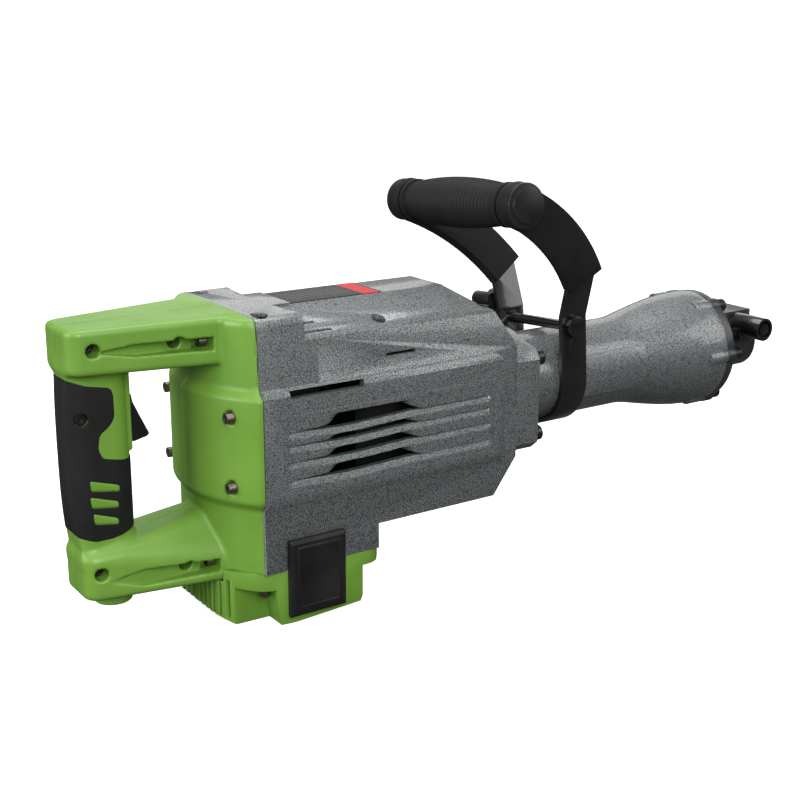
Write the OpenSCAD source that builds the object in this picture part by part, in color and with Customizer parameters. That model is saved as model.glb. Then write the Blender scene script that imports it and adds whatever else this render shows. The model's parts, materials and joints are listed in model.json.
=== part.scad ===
// Electric demolition hammer with a D-handle, a swivelling front handle and a hexagonal tool socket.
// Frame: X runs along the tool axis and is 0 at the socket mouth, with the machine on its minus side.
// Z is up, and minus Y is the side that carries the handle screws. All sizes are in mm.

/* [Housing] */
// X of the joint face between the grey housing and the green rear cover
seam_x = -580; // [-590:1:-570]
// X of the housing's front face, where the barrel flange bolts on
housing_front_x = -340.5; // [-350:0.5:-335]
// Height of the flat roof above the tool axis
roof_z = 100; // [96:1:104]
// Half-width of the housing's flanks at mid height
flank_y = 66.5; // [64:0.5:68]
// Wall thickness of the mouldings
wall = 3.5; // [3:0.5:4.5]
// How far the raised side panels stand out from the tool axis
panel_y = 70.8; // [70:0.2:72]
// Number of louvre grooves on each side panel
louvre_count = 4; // [2:1:4]

/* [Motor and gears] */
// X of the upright motor axis
motor_x = -537; // [-540:1:-534]
// Teeth of the pinion cut on the armature shaft
pinion_teeth = 8; // [8:1:8]
// Teeth of the second gear
second_teeth = 44; // [44:1:44]
// Module of the first gear pair
first_module = 1.25; // [1.25:0.25:1.25]
// Teeth of the pinion on the second shaft
lay_teeth = 9; // [9:1:9]
// Teeth of the crank gear
crank_teeth = 41; // [41:1:41]
// Module of the second gear pair
second_module = 2; // [2:1:2]
// Throw of the crank
crank_throw = 17; // [14:1:17]
// Length of the connecting rod between its two eyes
rod_length = 95; // [92:1:97]

/* [Barrel] */
// Outer radius of the straight barrel
barrel_r = 40.5; // [40:0.5:42]
// Bore radius of the cylinder liner
liner_r = 29; // [28:0.5:29]
// Radius of the bell at the barrel's front end
bell_r = 55; // [53:0.5:56]
// X of the joint between the bell and the front cover
bell_x = -71.8; // [-74:0.1:-70]

/* [Tool socket] */
// Width across the flats of the hexagonal socket
socket_af = 30; // [28:1:30]
// Depth of the hexagonal socket
socket_depth = 96; // [90:1:97]

/* [Front handle] */
// Angle by which the front handle is turned about the barrel
handle_turn = 4.5; // [0:0.5:30]
// X of the strap's centre line
strap_x = -256; // [-258:1:-254]
// Width of the strap
strap_w = 28; // [26:1:30]
// Thickness of the strap
strap_t = 4; // [3.5:0.5:4.5]
// X of the front grip's axis
grip_x = -341; // [-343:1:-338]
// Height of the front grip's axis above the tool axis
grip_z = 159; // [157:1:161]
// Half-length of the front grip over its end caps
grip_half = 88.2; // [86:0.1:90]
// Lean of each arm away from the barrel
arm_lean = 17.5; // [16:0.5:18]

/* [D-handle] */
// X of the back of the D-handle's grip
dgrip_back_x = -709; // [-711:1:-707]
// Half-width of the D-handle's grip
dgrip_y = 18; // [17.5:0.5:19]

/* [Hidden] */

$fn = 96;

// Colours
green = [0.36, 0.60, 0.20];
hammertone = [0.45, 0.48, 0.49];
slate = [0.24, 0.25, 0.27];
black = [0.07, 0.07, 0.08];
rubber = [0.15, 0.15, 0.16];
steel = [0.62, 0.62, 0.62];
alloy = [0.70, 0.71, 0.72];
screw_grey = [0.44, 0.39, 0.34];
copper = [0.72, 0.43, 0.22];

// Small overlap that lets a cut run clear of a face
eps = 0.5;
// Gap of a running fit, per side
run_gap = 0.05;
// Gap between parts that move past each other
move_gap = 0.4;

// Motor and gear centres
second_x = motor_x + (pinion_teeth + second_teeth) * first_module / 2;
crank_x = second_x + (lay_teeth + crank_teeth) * second_module / 2;
pin_x = crank_x + crank_throw;
wrist_x = pin_x + rod_length;

// Levels of the gear chamber
chamber_floor_z = 54;
crank_gear_z = 57;
crank_gear_h = 9;
second_gear_z = 69;
second_gear_h = 6;
chamber_lid_z = 79;

// Screw sizes: [head radius, head length, shank radius]
m5 = [4.2, 5, 2.5];
m8 = [6.5, 8, 4];

// Places of the screws
cover_screw_spots = [[51.7, 26.6], [51.7, -27.7]];
arm_screw_spots = [[25, 80.7], [25, -92.6]];
flange_screw_spot = [57, 33.3];
nose_screw_circle_r = 49.5;
ledge_screw_x = [-469, -367.5];
ledge_screw_y = 53.5;
corner_screw = [-570, 48];
tail_screw_rear = [-584, 58];
tail_screw_front = [-483, 52];
// Handle screws as [x, z]
handle_screw_spots = [[-690, 84], [-628, 83], [-692, -85], [-626, -91], [-697.5, 32.5]];

// Heights of the louvre lines, from the top of the first groove down
louvre_z = [22, 12.5, 2, -10.8, -25];

// Tail cover
tail_top_z = -96.6;

// Lever shaft of the tool retainer
lever_x = -28;
lever_z = 22;
lever_r = 9;

// Height at which the cord boss meets the lower arm
boss_top_z = -106;

// Front of the D-handle's grip
dgrip_front_x = -657.2;

// Cord boss
cord_x = -675;
cord_bore_r = 5.5;

// Seat of the cover screws
cover_seat_x = -595.7;

// Trigger pivot
trigger_pivot = [-661, 41];
trigger_pin_r = 2;

// ---------------------------------------------------------------- helpers

// Points of an arc about [cx, cy], with separate radii in the two directions
function arc(cx, cy, rx, ry, a0, a1, n) =
    [for (i = [0 : n]) let (a = a0 + (a1 - a0) * i / n) [cx + rx * cos(a), cy + ry * sin(a)]];

// Outline of a side and its mirror image across the second axis
function mirrored(points) =
    concat(points, [for (i = [len(points) - 1 : -1 : 0]) [points[i][0], -points[i][1]]]);

// Outline of a half-section and its mirror image across the first axis
function both_sides(points) =
    concat(points, [for (i = [len(points) - 1 : -1 : 0]) [-points[i][0], points[i][1]]]);

// Extrudes a [y, z] outline from x0 to x1
module along_x(x0, x1) {
    translate([x0, 0, 0])
        rotate([90, 0, 90])
            linear_extrude(x1 - x0)
                children();
}

// Extrudes an [x, z] outline from y0 to y1
module along_y(y0, y1) {
    translate([0, y1, 0])
        rotate([90, 0, 0])
            linear_extrude(y1 - y0)
                children();
}

// Box from its low corner to its high corner
module box(low, high) {
    translate(low)
        cube(high - low);
}

// Round bar along X, from x0 to x1
module bar_x(x0, x1, y, z, r) {
    translate([x0, y, z])
        rotate([0, 90, 0])
            cylinder(h = x1 - x0, r = r);
}

// Round bar along Y, from y0 to y1
module bar_y(y0, y1, x, z, r) {
    translate([x, y0, z])
        rotate([-90, 0, 0])
            cylinder(h = y1 - y0, r = r);
}

// Round bar along Z, from z0 to z1
module bar_z(z0, z1, x, y, r) {
    translate([x, y, z0])
        cylinder(h = z1 - z0, r = r);
}

// The children on both sides of the Y = 0 plane
module on_both_sides() {
    children();
    mirror([0, 1, 0])
        children();
}

// Cap screw that points along +Z, its head's seat at the origin, with a spring washer
module cap_screw(size, length) {
    head_r = size[0];
    head_h = size[1];
    washer_t = head_h / 4;
    difference() {
        translate([0, 0, -head_h - washer_t])
            cylinder(h = head_h, r = head_r);
        translate([0, 0, -head_h - washer_t - eps])
            cylinder(h = head_h / 2 + eps, r = head_r * 0.58, $fn = 6);
    }
    translate([0, 0, -washer_t])
        cylinder(h = washer_t, r = head_r * 1.05);
    cylinder(h = length, r = size[2]);
}

// Spur gear about Z with thin straight-flanked teeth, and a bore
module spur(teeth, mod, height, bore_r) {
    pitch_r = teeth * mod / 2;
    tip_r = pitch_r + 0.75 * mod;
    root_r = pitch_r - 1.15 * mod;
    step = 360 / teeth;
    // Half-angles of a tooth at its root, pitch line and tip
    root_a = step * 0.32;
    pitch_a = step * 0.20;
    tip_a = step * 0.09;
    outline = [for (i = [0 : teeth - 1])
        for (p = [[root_r, -root_a], [pitch_r, -pitch_a], [tip_r, -tip_a],
                  [tip_r, tip_a], [pitch_r, pitch_a], [root_r, root_a]])
            [p[0] * cos(i * step + p[1]), p[0] * sin(i * step + p[1])]];
    difference() {
        linear_extrude(height)
            polygon(outline);
        if (bore_r > 0)
            translate([0, 0, -eps])
                cylinder(h = height + 2 * eps, r = bore_r);
    }
}

// Ball bearing about Z: two rings and a ring of balls
module ball_bearing(outer_r, inner_r, height) {
    mid_r = (outer_r + inner_r) / 2;
    ball_r = (outer_r - inner_r) * 0.27;
    race = (outer_r - inner_r) * 0.25;
    difference() {
        cylinder(h = height, r = outer_r);
        translate([0, 0, -eps])
            cylinder(h = height + 2 * eps, r = outer_r - race);
    }
    difference() {
        cylinder(h = height, r = inner_r + race);
        translate([0, 0, -eps])
            cylinder(h = height + 2 * eps, r = inner_r);
    }
    difference() {
        translate([0, 0, height / 4])
            cylinder(h = height / 2, r = outer_r - race);
        translate([0, 0, height / 4 - eps])
            cylinder(h = height / 2 + 2 * eps, r = inner_r + race);
    }
    for (i = [0 : 7])
        rotate(i * 45)
            translate([mid_r, 0, height / 2])
                sphere(r = ball_r, $fn = 24);
}

// ---------------------------------------------------------------- housing

// Half of the rear cross-section [y, z], flat roof with round shoulders, inset by t
function rear_half(t) = concat(
    [[flank_y + 2.5 - t, tail_top_z - 1]],
    [[flank_y + 2.2 - t, -46], [flank_y - t, 47]],
    arc(flank_y - 11.5, roof_z - 8, 8 - t / 2, 8 - t, 0, 90, 6));

// Half of the front cross-section, with the sunk shoulders beside the roof
function front_half(t) = [
    [flank_y + 2.5 - t, tail_top_z - 1], [flank_y + 2.2 - t, -46], [flank_y - t, 47],
    [flank_y - 2.7 - t, 80], [flank_y - 4.5 - t, 82 - t], [52.5 - t / 2, 86.5 - t],
    [23.5, 97.5 - t], [22, 98.5 - t]];

// Side outline [x, z] of the housing, inset by t
function side_outline(t) = [
    [seam_x - eps, tail_top_z - (t > 0 ? 2 : 0)], [-478.6 - t, tail_top_z - (t > 0 ? 2 : 0)],
    [-478.6 - t, -76 + t], [-363.5 - t / 2, -76 + t], [housing_front_x - t, -45.5],
    [housing_front_x - t, 50], [-364 - t, 82 - t / 2], [-371 - t, 85], [-388 - t, roof_z - t],
    [seam_x - eps, roof_z - t]];

module housing_block(t) {
    intersection() {
        along_y(-80, 80)
            polygon(side_outline(t));
        union() {
            along_x(seam_x, -530)
                polygon(both_sides(rear_half(t)));
            along_x(-531, housing_front_x)
                polygon(both_sides(front_half(t)));
        }
    }
}

// Slanted rear end of the sunk shoulder, as a ramp filled between the two sections
module shoulder_ramp_cut() {
    intersection() {
        along_x(-560, -500)
            polygon([[23.5, 97.5], [52.5, 86.5], [62, 82], [63.8, 80], [90, 80], [90, 120], [23.5, 120]]);
        linear_extrude(200)
            polygon([[-547, 15], [-544, 45], [-536, 90], [-500, 90], [-500, 15]]);
    }
}

module side_panel() {
    intersection() {
        along_x(seam_x, -345)
            polygon([[58, 49], [66.6, 47], [panel_y, 41], [panel_y + 0.4, -39], [68.8, -46], [58, -48]]);
        along_y(0, 90)
            polygon([[seam_x, 50], [-366, 50], [-348, 32], [-346, -22], [-358, -50], [seam_x, -50]]);
        linear_extrude(120, center = true)
            polygon([[seam_x, 40], [seam_x, panel_y + 1], [-358.5, panel_y + 1], [-350, 66], [-350, 40]]);
    }
}

// One louvre: a step in the panel below its line, and an opening above it along its middle
module louvre(top, low) {
    h = top - low;
    along_x(-561, -371)
        polygon([[panel_y + 2, low], [panel_y + 2, low - 5.2], [panel_y + 0.3, low - 5.2],
                 [panel_y - 1.4, low]]);
    along_y(50, 80)
        polygon([[-556, low - 0.6], [-545, low + 0.4], [-528, low + 0.2 * h + 0.6], [-517, low + 0.62 * h],
                 [-508, top], [-458, top - 0.1 * h], [-450, low + 0.45 * h], [-442, low + 0.12 * h],
                 [-436, low - 0.2], [-470, low - 1.2], [-508, low - 2], [-530, low - 1.4]]);
}

module side_openings() {
    for (i = [1 : louvre_count])
        louvre(louvre_z[i - 1] - (i > 1 ? 7 : 0), louvre_z[i]);
    box([-557.5, 50, 38.5], [-492.5, 80, 44.6]);
    box([-470, 50, 58.4], [-442, 80, 60.8]);
    // Short slits at the rear of the sunk shoulder
    box([-537, 45.5, 70], [-523, 48.5, 110]);
    box([-539, 56, 70], [-514, 59, 110]);
}

module corner_notch() {
    hull() {
        bar_z(91, 110, corner_screw[0], corner_screw[1], 6.5, $fn = 32);
        bar_z(91, 110, corner_screw[0] - 2, corner_screw[1] + 5, 6, $fn = 32);
    }
}

module housing() {
    color(hammertone)
    difference() {
        union() {
            difference() {
                union() {
                    housing_block(0);
                    on_both_sides()
                        side_panel();
                }
                on_both_sides()
                    shoulder_ramp_cut();
                difference() {
                    housing_block(wall);
                    on_both_sides()
                        translate([0, 0, -wall])
                            shoulder_wall();
                }
                on_both_sides()
                    side_openings();
                // Window in the front wall for the crankcase's nose
                box([-362, -63, -40], [housing_front_x + eps, 63, 40]);
            }
            // Bosses for the rear cover's screws, tied to the walls by ribs
            on_both_sides() {
                for (s = cover_screw_spots) {
                    bar_x(seam_x, -562, s[0], s[1], 6);
                    box([seam_x, s[0], s[1] - 2], [-562, flank_y - 1, s[1] + 2]);
                }
                bar_x(seam_x, -566, arm_screw_spots[0][0], arm_screw_spots[0][1], 6);
                box([seam_x, arm_screw_spots[0][0] - 2, arm_screw_spots[0][1]],
                    [-566, arm_screw_spots[0][0] + 2, roof_z - 2]);
                box([seam_x, 19, tail_top_z], [-569, flank_y, -87.6]);
                // Seats under the screws of the roof
                bar_z(74, 86, corner_screw[0], corner_screw[1], 7);
                box([seam_x, corner_screw[1], 78], [-566, flank_y - 5, 86]);
                // Seats above the tail cover's screws
                box([seam_x, 52, tail_top_z], [-573, flank_y, -80]);
                box([-493, 46, tail_top_z], [-479, flank_y, -84]);
            }
        }
        on_both_sides() {
            corner_notch();
            bar_z(60, 110, corner_screw[0], corner_screw[1], m5[2] + 0.1);
            for (s = cover_screw_spots)
                bar_x(seam_x - 1, -566, s[0], s[1], m5[2]);
            bar_x(seam_x - 1, -568, arm_screw_spots[0][0], arm_screw_spots[0][1], m5[2]);
            bar_x(seam_x - 1, -571, arm_screw_spots[1][0], arm_screw_spots[1][1], m5[2]);
            // Counterbores and clearance holes of the ledge screws
            for (x = ledge_screw_x) {
                bar_z(81, 110, x, ledge_screw_y, 5.6);
                bar_z(70, 110, x, ledge_screw_y, m5[2] + 0.1);
            }
            // Hole for the brush holder
            bar_y(50, 80, motor_x, -88, 7);
            bar_z(-99, -84, tail_screw_rear[0] + 8, tail_screw_rear[1], m5[2]);
            bar_z(-99, -86, tail_screw_front[0] - 3, tail_screw_front[1], m5[2]);
        }
    }
}

// Solid left standing inside the shell below the slanted end of the sunk shoulder
module shoulder_wall() {
    difference() {
        along_x(-549, -529)
            polygon([[21, 94], [21, 110], [80, 110], [80, 76], [60, 76], [52, 84]]);
        linear_extrude(200)
            polygon([[-560, 10], [-550.5, 10], [-548, 45], [-541, 90], [-560, 90]]);
    }
}

module rating_label() {
    color(slate)
        box([-529.7, -21.6, 98.5], [-445, 21.6, 99.1]);
}

// ---------------------------------------------------------------- casting and motor frame

module crankcase() {
    top_z = chamber_floor_z;
    cavity_front_x = -404;
    color(alloy)
    difference() {
        union() {
            // Crank chamber
            box([-488, -50, -46], [-352, 50, top_z]);
            // Nose that meets the barrel flange
            box([-358, -62.5, -38.5], [housing_front_x, 62.5, 38.5]);
            // Plate over the motor
            box([-562, -50, 42], [-480, 50, top_z]);
            // Pads under the ledge screws
            on_both_sides() {
                box([-476, 46, top_z - 8], [-462, 59, 76]);
                box([-374, 46, top_z - 8], [-363.2, 59, 74]);
            }
        }
        // Crank chamber
        box([-484, -46, -42], [cavity_front_x, 46, 34]);
        // Bore of the liner
        bar_x(cavity_front_x - 1, housing_front_x + eps, 0, 0, 33.5);
        // Seat of the crank bearing and its clearance hole
        bar_z(30, top_z + eps, crank_x, 0, 14);
        bar_z(38, 52, crank_x, 0, 20);
        bar_z(50, top_z + eps, crank_x, 0, 20);
        // Seat of the armature bearing
        bar_z(41, top_z + eps, motor_x, 0, 8);
        bar_z(44, top_z + eps, motor_x, 0, 13);
        // Seat of the second shaft's lower bearing
        bar_z(46, top_z + eps, second_x, 0, 9.5);
        on_both_sides() {
            // Screw holes of the flange screws
            for (z = [-flange_screw_spot[1], flange_screw_spot[1]])
                bar_x(-356, housing_front_x + eps, flange_screw_spot[0], z, m8[2]);
            // Screw holes of the ledge screws
            for (x = ledge_screw_x)
                bar_z(top_z + 6, 80, x, ledge_screw_y, m5[2]);
        }
    }
}

module gear_cover() {
    color(alloy)
    difference() {
        union() {
            box([-561, -46, chamber_lid_z], [-408, 46, chamber_lid_z + 3]);
            bar_z(chamber_lid_z, chamber_lid_z + 9, second_x, 0, 12);
        }
        bar_z(chamber_lid_z - eps, chamber_lid_z + 6, second_x, 0, 9.5);
        bar_z(chamber_lid_z - eps, chamber_lid_z + 4, motor_x, 0, 7);
    }
    // Legs of the cover, standing on the casting
    color(alloy)
        on_both_sides()
            for (x = [-561, -420])
                box([x, 43.5, chamber_floor_z], [x + 12, 46, chamber_lid_z]);
}

module motor_can() {
    color(alloy)
    difference() {
        bar_z(-62, 42, motor_x, 0, 48);
        bar_z(-63, 43, motor_x, 0, 44.2);
        // Air windows round the fan
        for (a = [45 : 90 : 315])
            translate([motor_x, 0, 0])
                rotate(a)
                    box([30, -16, 18], [60, 16, 38]);
    }
}

module stator_core() {
    color(steel)
    difference() {
        bar_z(-42, 6, motor_x, 0, 44.2);
        bar_z(-43, 7, motor_x, 0, 28);
    }
}

module stator_coils() {
    color(copper)
    for (z = [-52, 6])
        difference() {
            bar_z(z, z + 10, motor_x, 0, 40);
            bar_z(z - 1, z + 11, motor_x, 0, 29);
            box([motor_x - 4, -50, z - 1], [motor_x + 4, 50, z + 11]);
        }
}

module brush_holders() {
    color(black)
    on_both_sides()
        difference() {
            bar_y(20, 68.5, motor_x, -88, 7);
            box([motor_x - 3.1, 19, -93.1], [motor_x + 3.1, 60, -82.9]);
        }
}

module carbon_brushes() {
    color(slate)
    on_both_sides()
        box([motor_x - 3, 16.6, -93], [motor_x + 3, 42, -83]);
}

module bearing_armature_top() {
    color(steel)
        translate([motor_x, 0, 44])
            ball_bearing(13, 6 + run_gap, 8);
}

module bearing_armature_bottom() {
    color(steel)
        translate([motor_x, 0, -131])
            ball_bearing(11, 5 + run_gap, 7);
}

module bearing_crank() {
    color(steel)
        translate([crank_x, 0, 38])
            ball_bearing(20, 10 + run_gap, 14);
}

module bearing_second_low() {
    color(steel)
        translate([second_x, 0, 46])
            ball_bearing(9.5, 4 + run_gap, 6);
}

module bearing_second_top() {
    color(steel)
        translate([second_x, 0, chamber_lid_z])
            ball_bearing(9.5, 4 + run_gap, 6);
}

module armature_shaft() {
    color(steel)
    union() {
        bar_z(-131, -112, motor_x, 0, 5);
        bar_z(-112, 68, motor_x, 0, 6);
        // Turned to half a tooth, so that a gap faces the second gear's tooth
        translate([motor_x, 0, second_gear_z - 1.5])
            rotate(180 / pinion_teeth)
                spur(pinion_teeth, first_module, second_gear_h + 3, 0);
    }
}

module armature_core() {
    color(steel)
    difference() {
        bar_z(-40, 4, motor_x, 0, 27.3);
        bar_z(-41, 5, motor_x, 0, 6);
        for (a = [0 : 22.5 : 337.5])
            translate([motor_x, 0, 0])
                rotate(a)
                    box([22, -1.2, -41], [30, 1.2, 5]);
    }
}

module commutator() {
    color(copper)
    difference() {
        bar_z(-99, -77, motor_x, 0, 16);
        bar_z(-100, -76, motor_x, 0, 6);
    }
}

module fan() {
    blade_count = 12;
    color(alloy)
    difference() {
        union() {
            bar_z(20, 22, motor_x, 0, 41);
            bar_z(20, 34, motor_x, 0, 12);
            for (i = [0 : blade_count - 1])
                translate([motor_x, 0, 0])
                    rotate(i * 360 / blade_count)
                        box([11, -0.9, 21], [40, 0.9, 33]);
        }
        bar_z(19, 35, motor_x, 0, 6);
    }
}

// ---------------------------------------------------------------- gear train and crank

module second_gear() {
    color(steel)
        translate([second_x, 0, second_gear_z])
            spur(second_teeth, first_module, second_gear_h, 4);
}

module second_shaft() {
    color(steel)
    union() {
        bar_z(46.5, chamber_lid_z + 5.5, second_x, 0, 4);
        translate([second_x, 0, 55])
            rotate(180 / lay_teeth)
                spur(lay_teeth, second_module, 13.5, 0);
    }
}

module crank_gear() {
    color(steel)
        translate([crank_x, 0, crank_gear_z])
            rotate(180)
                spur(crank_teeth, second_module, crank_gear_h, 10);
}

module crankshaft() {
    color(steel)
    difference() {
        union() {
            bar_z(24, crank_gear_z + crank_gear_h, crank_x, 0, 10);
            bar_z(12, 24, crank_x, 0, 26);
        }
        // The web is cut away opposite the crank pin's counterweight
        box([crank_x + 2, 15, 11], [crank_x + 30, 30, 24]);
        box([crank_x + 2, -30, 11], [crank_x + 30, -15, 24]);
    }
}

module crank_pin() {
    color(steel)
        bar_z(-9, 12 - move_gap, pin_x, 0, 8);
}

module connecting_rod() {
    color(alloy)
    difference() {
        union() {
            bar_z(-7, 9, pin_x, 0, 11.5);
            bar_z(-7, 7, wrist_x, 0, 10.5);
            box([pin_x, -6, -6], [wrist_x, 6, 6]);
        }
        bar_z(-8, 10, pin_x, 0, 8);
        bar_z(-8, 8, wrist_x, 0, 6 + run_gap);
    }
}

module piston_pin() {
    color(steel)
        bar_z(-24, 24, wrist_x, 0, 6);
}

module piston() {
    color(steel)
    difference() {
        bar_x(wrist_x - 22, wrist_x + 37, 0, 0, liner_r - run_gap);
        // Room for the rod's small eye
        box([wrist_x - 23, -14, -7.5], [wrist_x + 13, 14, 7.5]);
        translate([wrist_x - 23, 0, 0])
            rotate([0, 90, 0])
                cylinder(h = 12, r = 21);
        bar_z(-24.2, 24.2, wrist_x, 0, 6);
        for (x = [wrist_x + 21, wrist_x + 29])
            ring_groove(x);
    }
}

// Groove for a piston ring that starts at x
module ring_groove(x) {
    difference() {
        bar_x(x, x + 4, 0, 0, liner_r + 1);
        bar_x(x - 1, x + 5, 0, 0, liner_r - 3);
    }
}

// Ring that fills such a groove
module seal_ring(x) {
    difference() {
        bar_x(x, x + 4, 0, 0, liner_r - run_gap);
        bar_x(x - 1, x + 5, 0, 0, liner_r - 3);
    }
}

module piston_rings() {
    color(black)
    for (x = [wrist_x + 21, wrist_x + 29])
        seal_ring(x);
}

module striker() {
    color(steel)
    difference() {
        bar_x(-290, -226, 0, 0, liner_r - run_gap);
        ring_groove(-282);
        ring_groove(-240);
    }
}

module striker_rings() {
    color(black)
    for (x = [-282, -240])
        seal_ring(x);
}

module second_hammer() {
    color(steel)
    union() {
        bar_x(-204, -190, 0, 0, 14);
        bar_x(-190, -150, 0, 0, 22 - run_gap);
        bar_x(-150, -114, 0, 0, 14);
    }
}

module hammer_holder() {
    color(steel)
    difference() {
        bar_x(-196, -112, 0, 0, 33.5);
        bar_x(-197, -139, 0, 0, 22);
        bar_x(-140, -111, 0, 0, 15);
    }
}

module cushion_ring() {
    color(rubber)
    difference() {
        bar_x(-112, -104, 0, 0, 36);
        bar_x(-113, -103, 0, 0, 16);
    }
}

module cylinder_liner() {
    color(steel)
    difference() {
        bar_x(-404, -200, 0, 0, 33.5);
        bar_x(-405, -199, 0, 0, liner_r);
        // Air holes
        for (a = [0 : 90 : 270])
            rotate([a, 0, 0])
                bar_z(20, 40, -300, 0, 2.5);
    }
}

module tool_sleeve() {
    color(steel)
    difference() {
        union() {
            bar_x(-104, bell_x, 0, 0, 34);
            bar_x(bell_x - 1, -3, 0, 0, 24);
        }
        // Hexagonal socket with flats above and below
        translate([-socket_depth, 0, 0])
            rotate([0, 90, 0])
                rotate(30)
                    cylinder(h = socket_depth + 1, r = socket_af / 2 / cos(30), $fn = 6);
        bar_x(-105, -socket_depth + 1, 0, 0, 14.8);
        // Cross slot for the lever shaft
        bar_y(-40, 40, lever_x, lever_z, lever_r + 0.6);
    }
}

// ---------------------------------------------------------------- barrel and front cover

// Outer half-profile of the barrel [x, r] from the flange forward, a little past the bell's front face
function barrel_profile() = concat(
    [[-317, 0], [-317, 52], [-313, 52]],
    arc(-306, 44, 8, 6, 90, 20, 6),
    [[-296, 42.5], [-290, barrel_r], [-178, barrel_r], [-170, barrel_r + 0.5], [-160, barrel_r + 2.1],
     [-146, bell_r - 9.3], [-130, bell_r - 6], [-115, bell_r - 3.3], [-102, bell_r - 1.5], [-90, bell_r - 0.5],
     [-80, bell_r], [bell_x + 3, bell_r], [bell_x + 3, 0]]);

module barrel_pad() {
    // Low cast pad on the barrel's flank
    intersection() {
        difference() {
            bar_x(-240, -160, 0, 0, barrel_r + 1.3);
            bar_x(-241, -159, 0, 0, barrel_r - 1);
        }
        box([-240, 20, -18], [-160, 60, 20.5]);
    }
}

module barrel() {
    y = flange_screw_spot[0];
    z = flange_screw_spot[1];
    color(hammertone)
    difference() {
        union() {
            // Flange block with its corners cut off
            along_x(housing_front_x, -316.5)
                polygon(both_sides([[60, -44], [68, -37], [68, 35], [62, 43], [46, 47], [30, 52], [12, 54]]));
            rotate([0, 90, 0])
                rotate_extrude()
                    polygon([for (p = barrel_profile()) [p[1], p[0]]]);
            on_both_sides()
                barrel_pad();
            // Bosses of the nose screws on the bell
            for (a = [0 : 60 : 300])
                rotate([a, 0, 0])
                    bar_x(bell_x - 22, bell_x + 3, nose_screw_circle_r, 0, 7.5);
        }
        // Front face of the bell
        bar_x(bell_x, bell_x + 5, 0, 0, 70);
        bar_x(-345, -111.5, 0, 0, 33.5);
        bar_x(-112, bell_x + eps, 0, 0, 36);
        for (a = [0 : 60 : 300])
            rotate([a, 0, 0])
                bar_x(bell_x - 18, bell_x + eps, nose_screw_circle_r, 0, m8[2]);
        on_both_sides()
            for (s = [-z, z])
                bar_x(housing_front_x - eps, -316, y, s, m8[2] + 0.2);
    }
}

module front_cover() {
    flange_x = -62;
    tube_r = 27.5;
    block_top = 34;
    color(slate)
    difference() {
        union() {
            bar_x(bell_x, flange_x, 0, 0, bell_r - 0.6);
            for (a = [0 : 60 : 300])
                rotate([a, 0, 0])
                    bar_x(bell_x, flange_x, nose_screw_circle_r, 0, 8);
            bar_x(flange_x - 1, -2, 0, 0, tube_r);
            // Cross boss round the lever shaft
            box([-46, -23, 0], [-8, 22, block_top]);
            // Chamfered front rim
            translate([-2, 0, 0])
                rotate([0, 90, 0])
                    cylinder(h = 2, r1 = tube_r, r2 = tube_r - 2);
            box([-9, -17, 10], [-1, 13, 31]);
        }
        bar_x(bell_x - eps, -3, 0, 0, 24);
        bar_x(-4, 1, 0, 0, socket_af / 2 / cos(30) + 0.5);
        bar_y(-30, 30, lever_x, lever_z, lever_r + run_gap);
        // Spot face round the lever's knob
        bar_y(-30, -23, lever_x, lever_z, 11.6);
        for (a = [0 : 60 : 300])
            rotate([a, 0, 0])
                bar_x(bell_x - 1, flange_x + 1, nose_screw_circle_r, 0, m8[2] + 0.2);
    }
}

module stop_lever() {
    knob_r = 11;
    color(black)
    difference() {
        union() {
            // Shaft across the socket
            bar_y(-25, 27, lever_x, lever_z, lever_r);
            // Hand knob
            bar_y(-60, -23.4, lever_x, lever_z, knob_r);
            // Finger hook under the knob
            bar_y(-38, -30, lever_x, lever_z - 7, 10);
        }
        // Flat that lets the tool's collar past when the lever is turned over
        box([lever_x - 12, -19, lever_z + 5], [lever_x + 12, 19, lever_z + 12]);
        // Ring groove in the knob's end
        difference() {
            bar_y(-61, -54, lever_x, lever_z, 8.6);
            bar_y(-62, -53, lever_x, lever_z, 5.6);
        }
    }
}

// ---------------------------------------------------------------- D-handle and rear cover

// Upright cylinder that rounds the back of the rear cover
module cover_round(r) {
    bar_z(-120, 120, -507.2, 0, r);
}

module cover_outer() {
    shoulder = arc(flank_y - 11.5, roof_z - 8, 8, 8, 0, 90, 6);
    // Main shell
    intersection() {
        cover_round(98.8);
        along_x(-620, seam_x)
            polygon(both_sides(concat([[90, tail_top_z], [90, 0], [flank_y, 47]], shoulder)));
    }
    // Raised band, bevelled above and below
    intersection() {
        cover_round(104.1);
        along_x(-620, seam_x)
            polygon(both_sides([[60, -47], [flank_y + 1.2, -46], [panel_y + 0.2, -39], [panel_y + 0.2, 41],
                                [flank_y - 0.4, 47.5], [60, 48]]));
        along_y(-80, 80)
            polygon([[-560, -47.3], [-605.9, -46], [-611.5, -39], [-611.5, 41], [-605.9, 47.5], [-560, 48.6]]);
    }
}

// Hollow of the rear cover, open to the housing
module cover_hollow() {
    intersection() {
        cover_round(95.3);
        along_x(-620, seam_x + 1)
            polygon(both_sides([[64, tail_top_z - eps], [64, 20], [62.5, 50], [59.5, 86],
                                [52, roof_z - wall - eps]]));
    }
}

// Upper and lower arms of the D
module arms() {
    hull() {
        on_both_sides()
            bar_z(66, 99, -695.4, 15, 12, $fn = 32);
        box([-597, -41, 64], [-594, 41, roof_z]);
    }
    hull() {
        on_both_sides()
            bar_z(-106, -70, -691.5, 13, 12, $fn = 32);
        box([-597, -40, -106], [-594, 40, -84]);
        box([-597, -14, -60], [-594, 14, -54]);
    }
    // Cord boss under the lower arm
    bar_z(-116.5, -100, cord_x, 0, 14.5);
}

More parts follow.
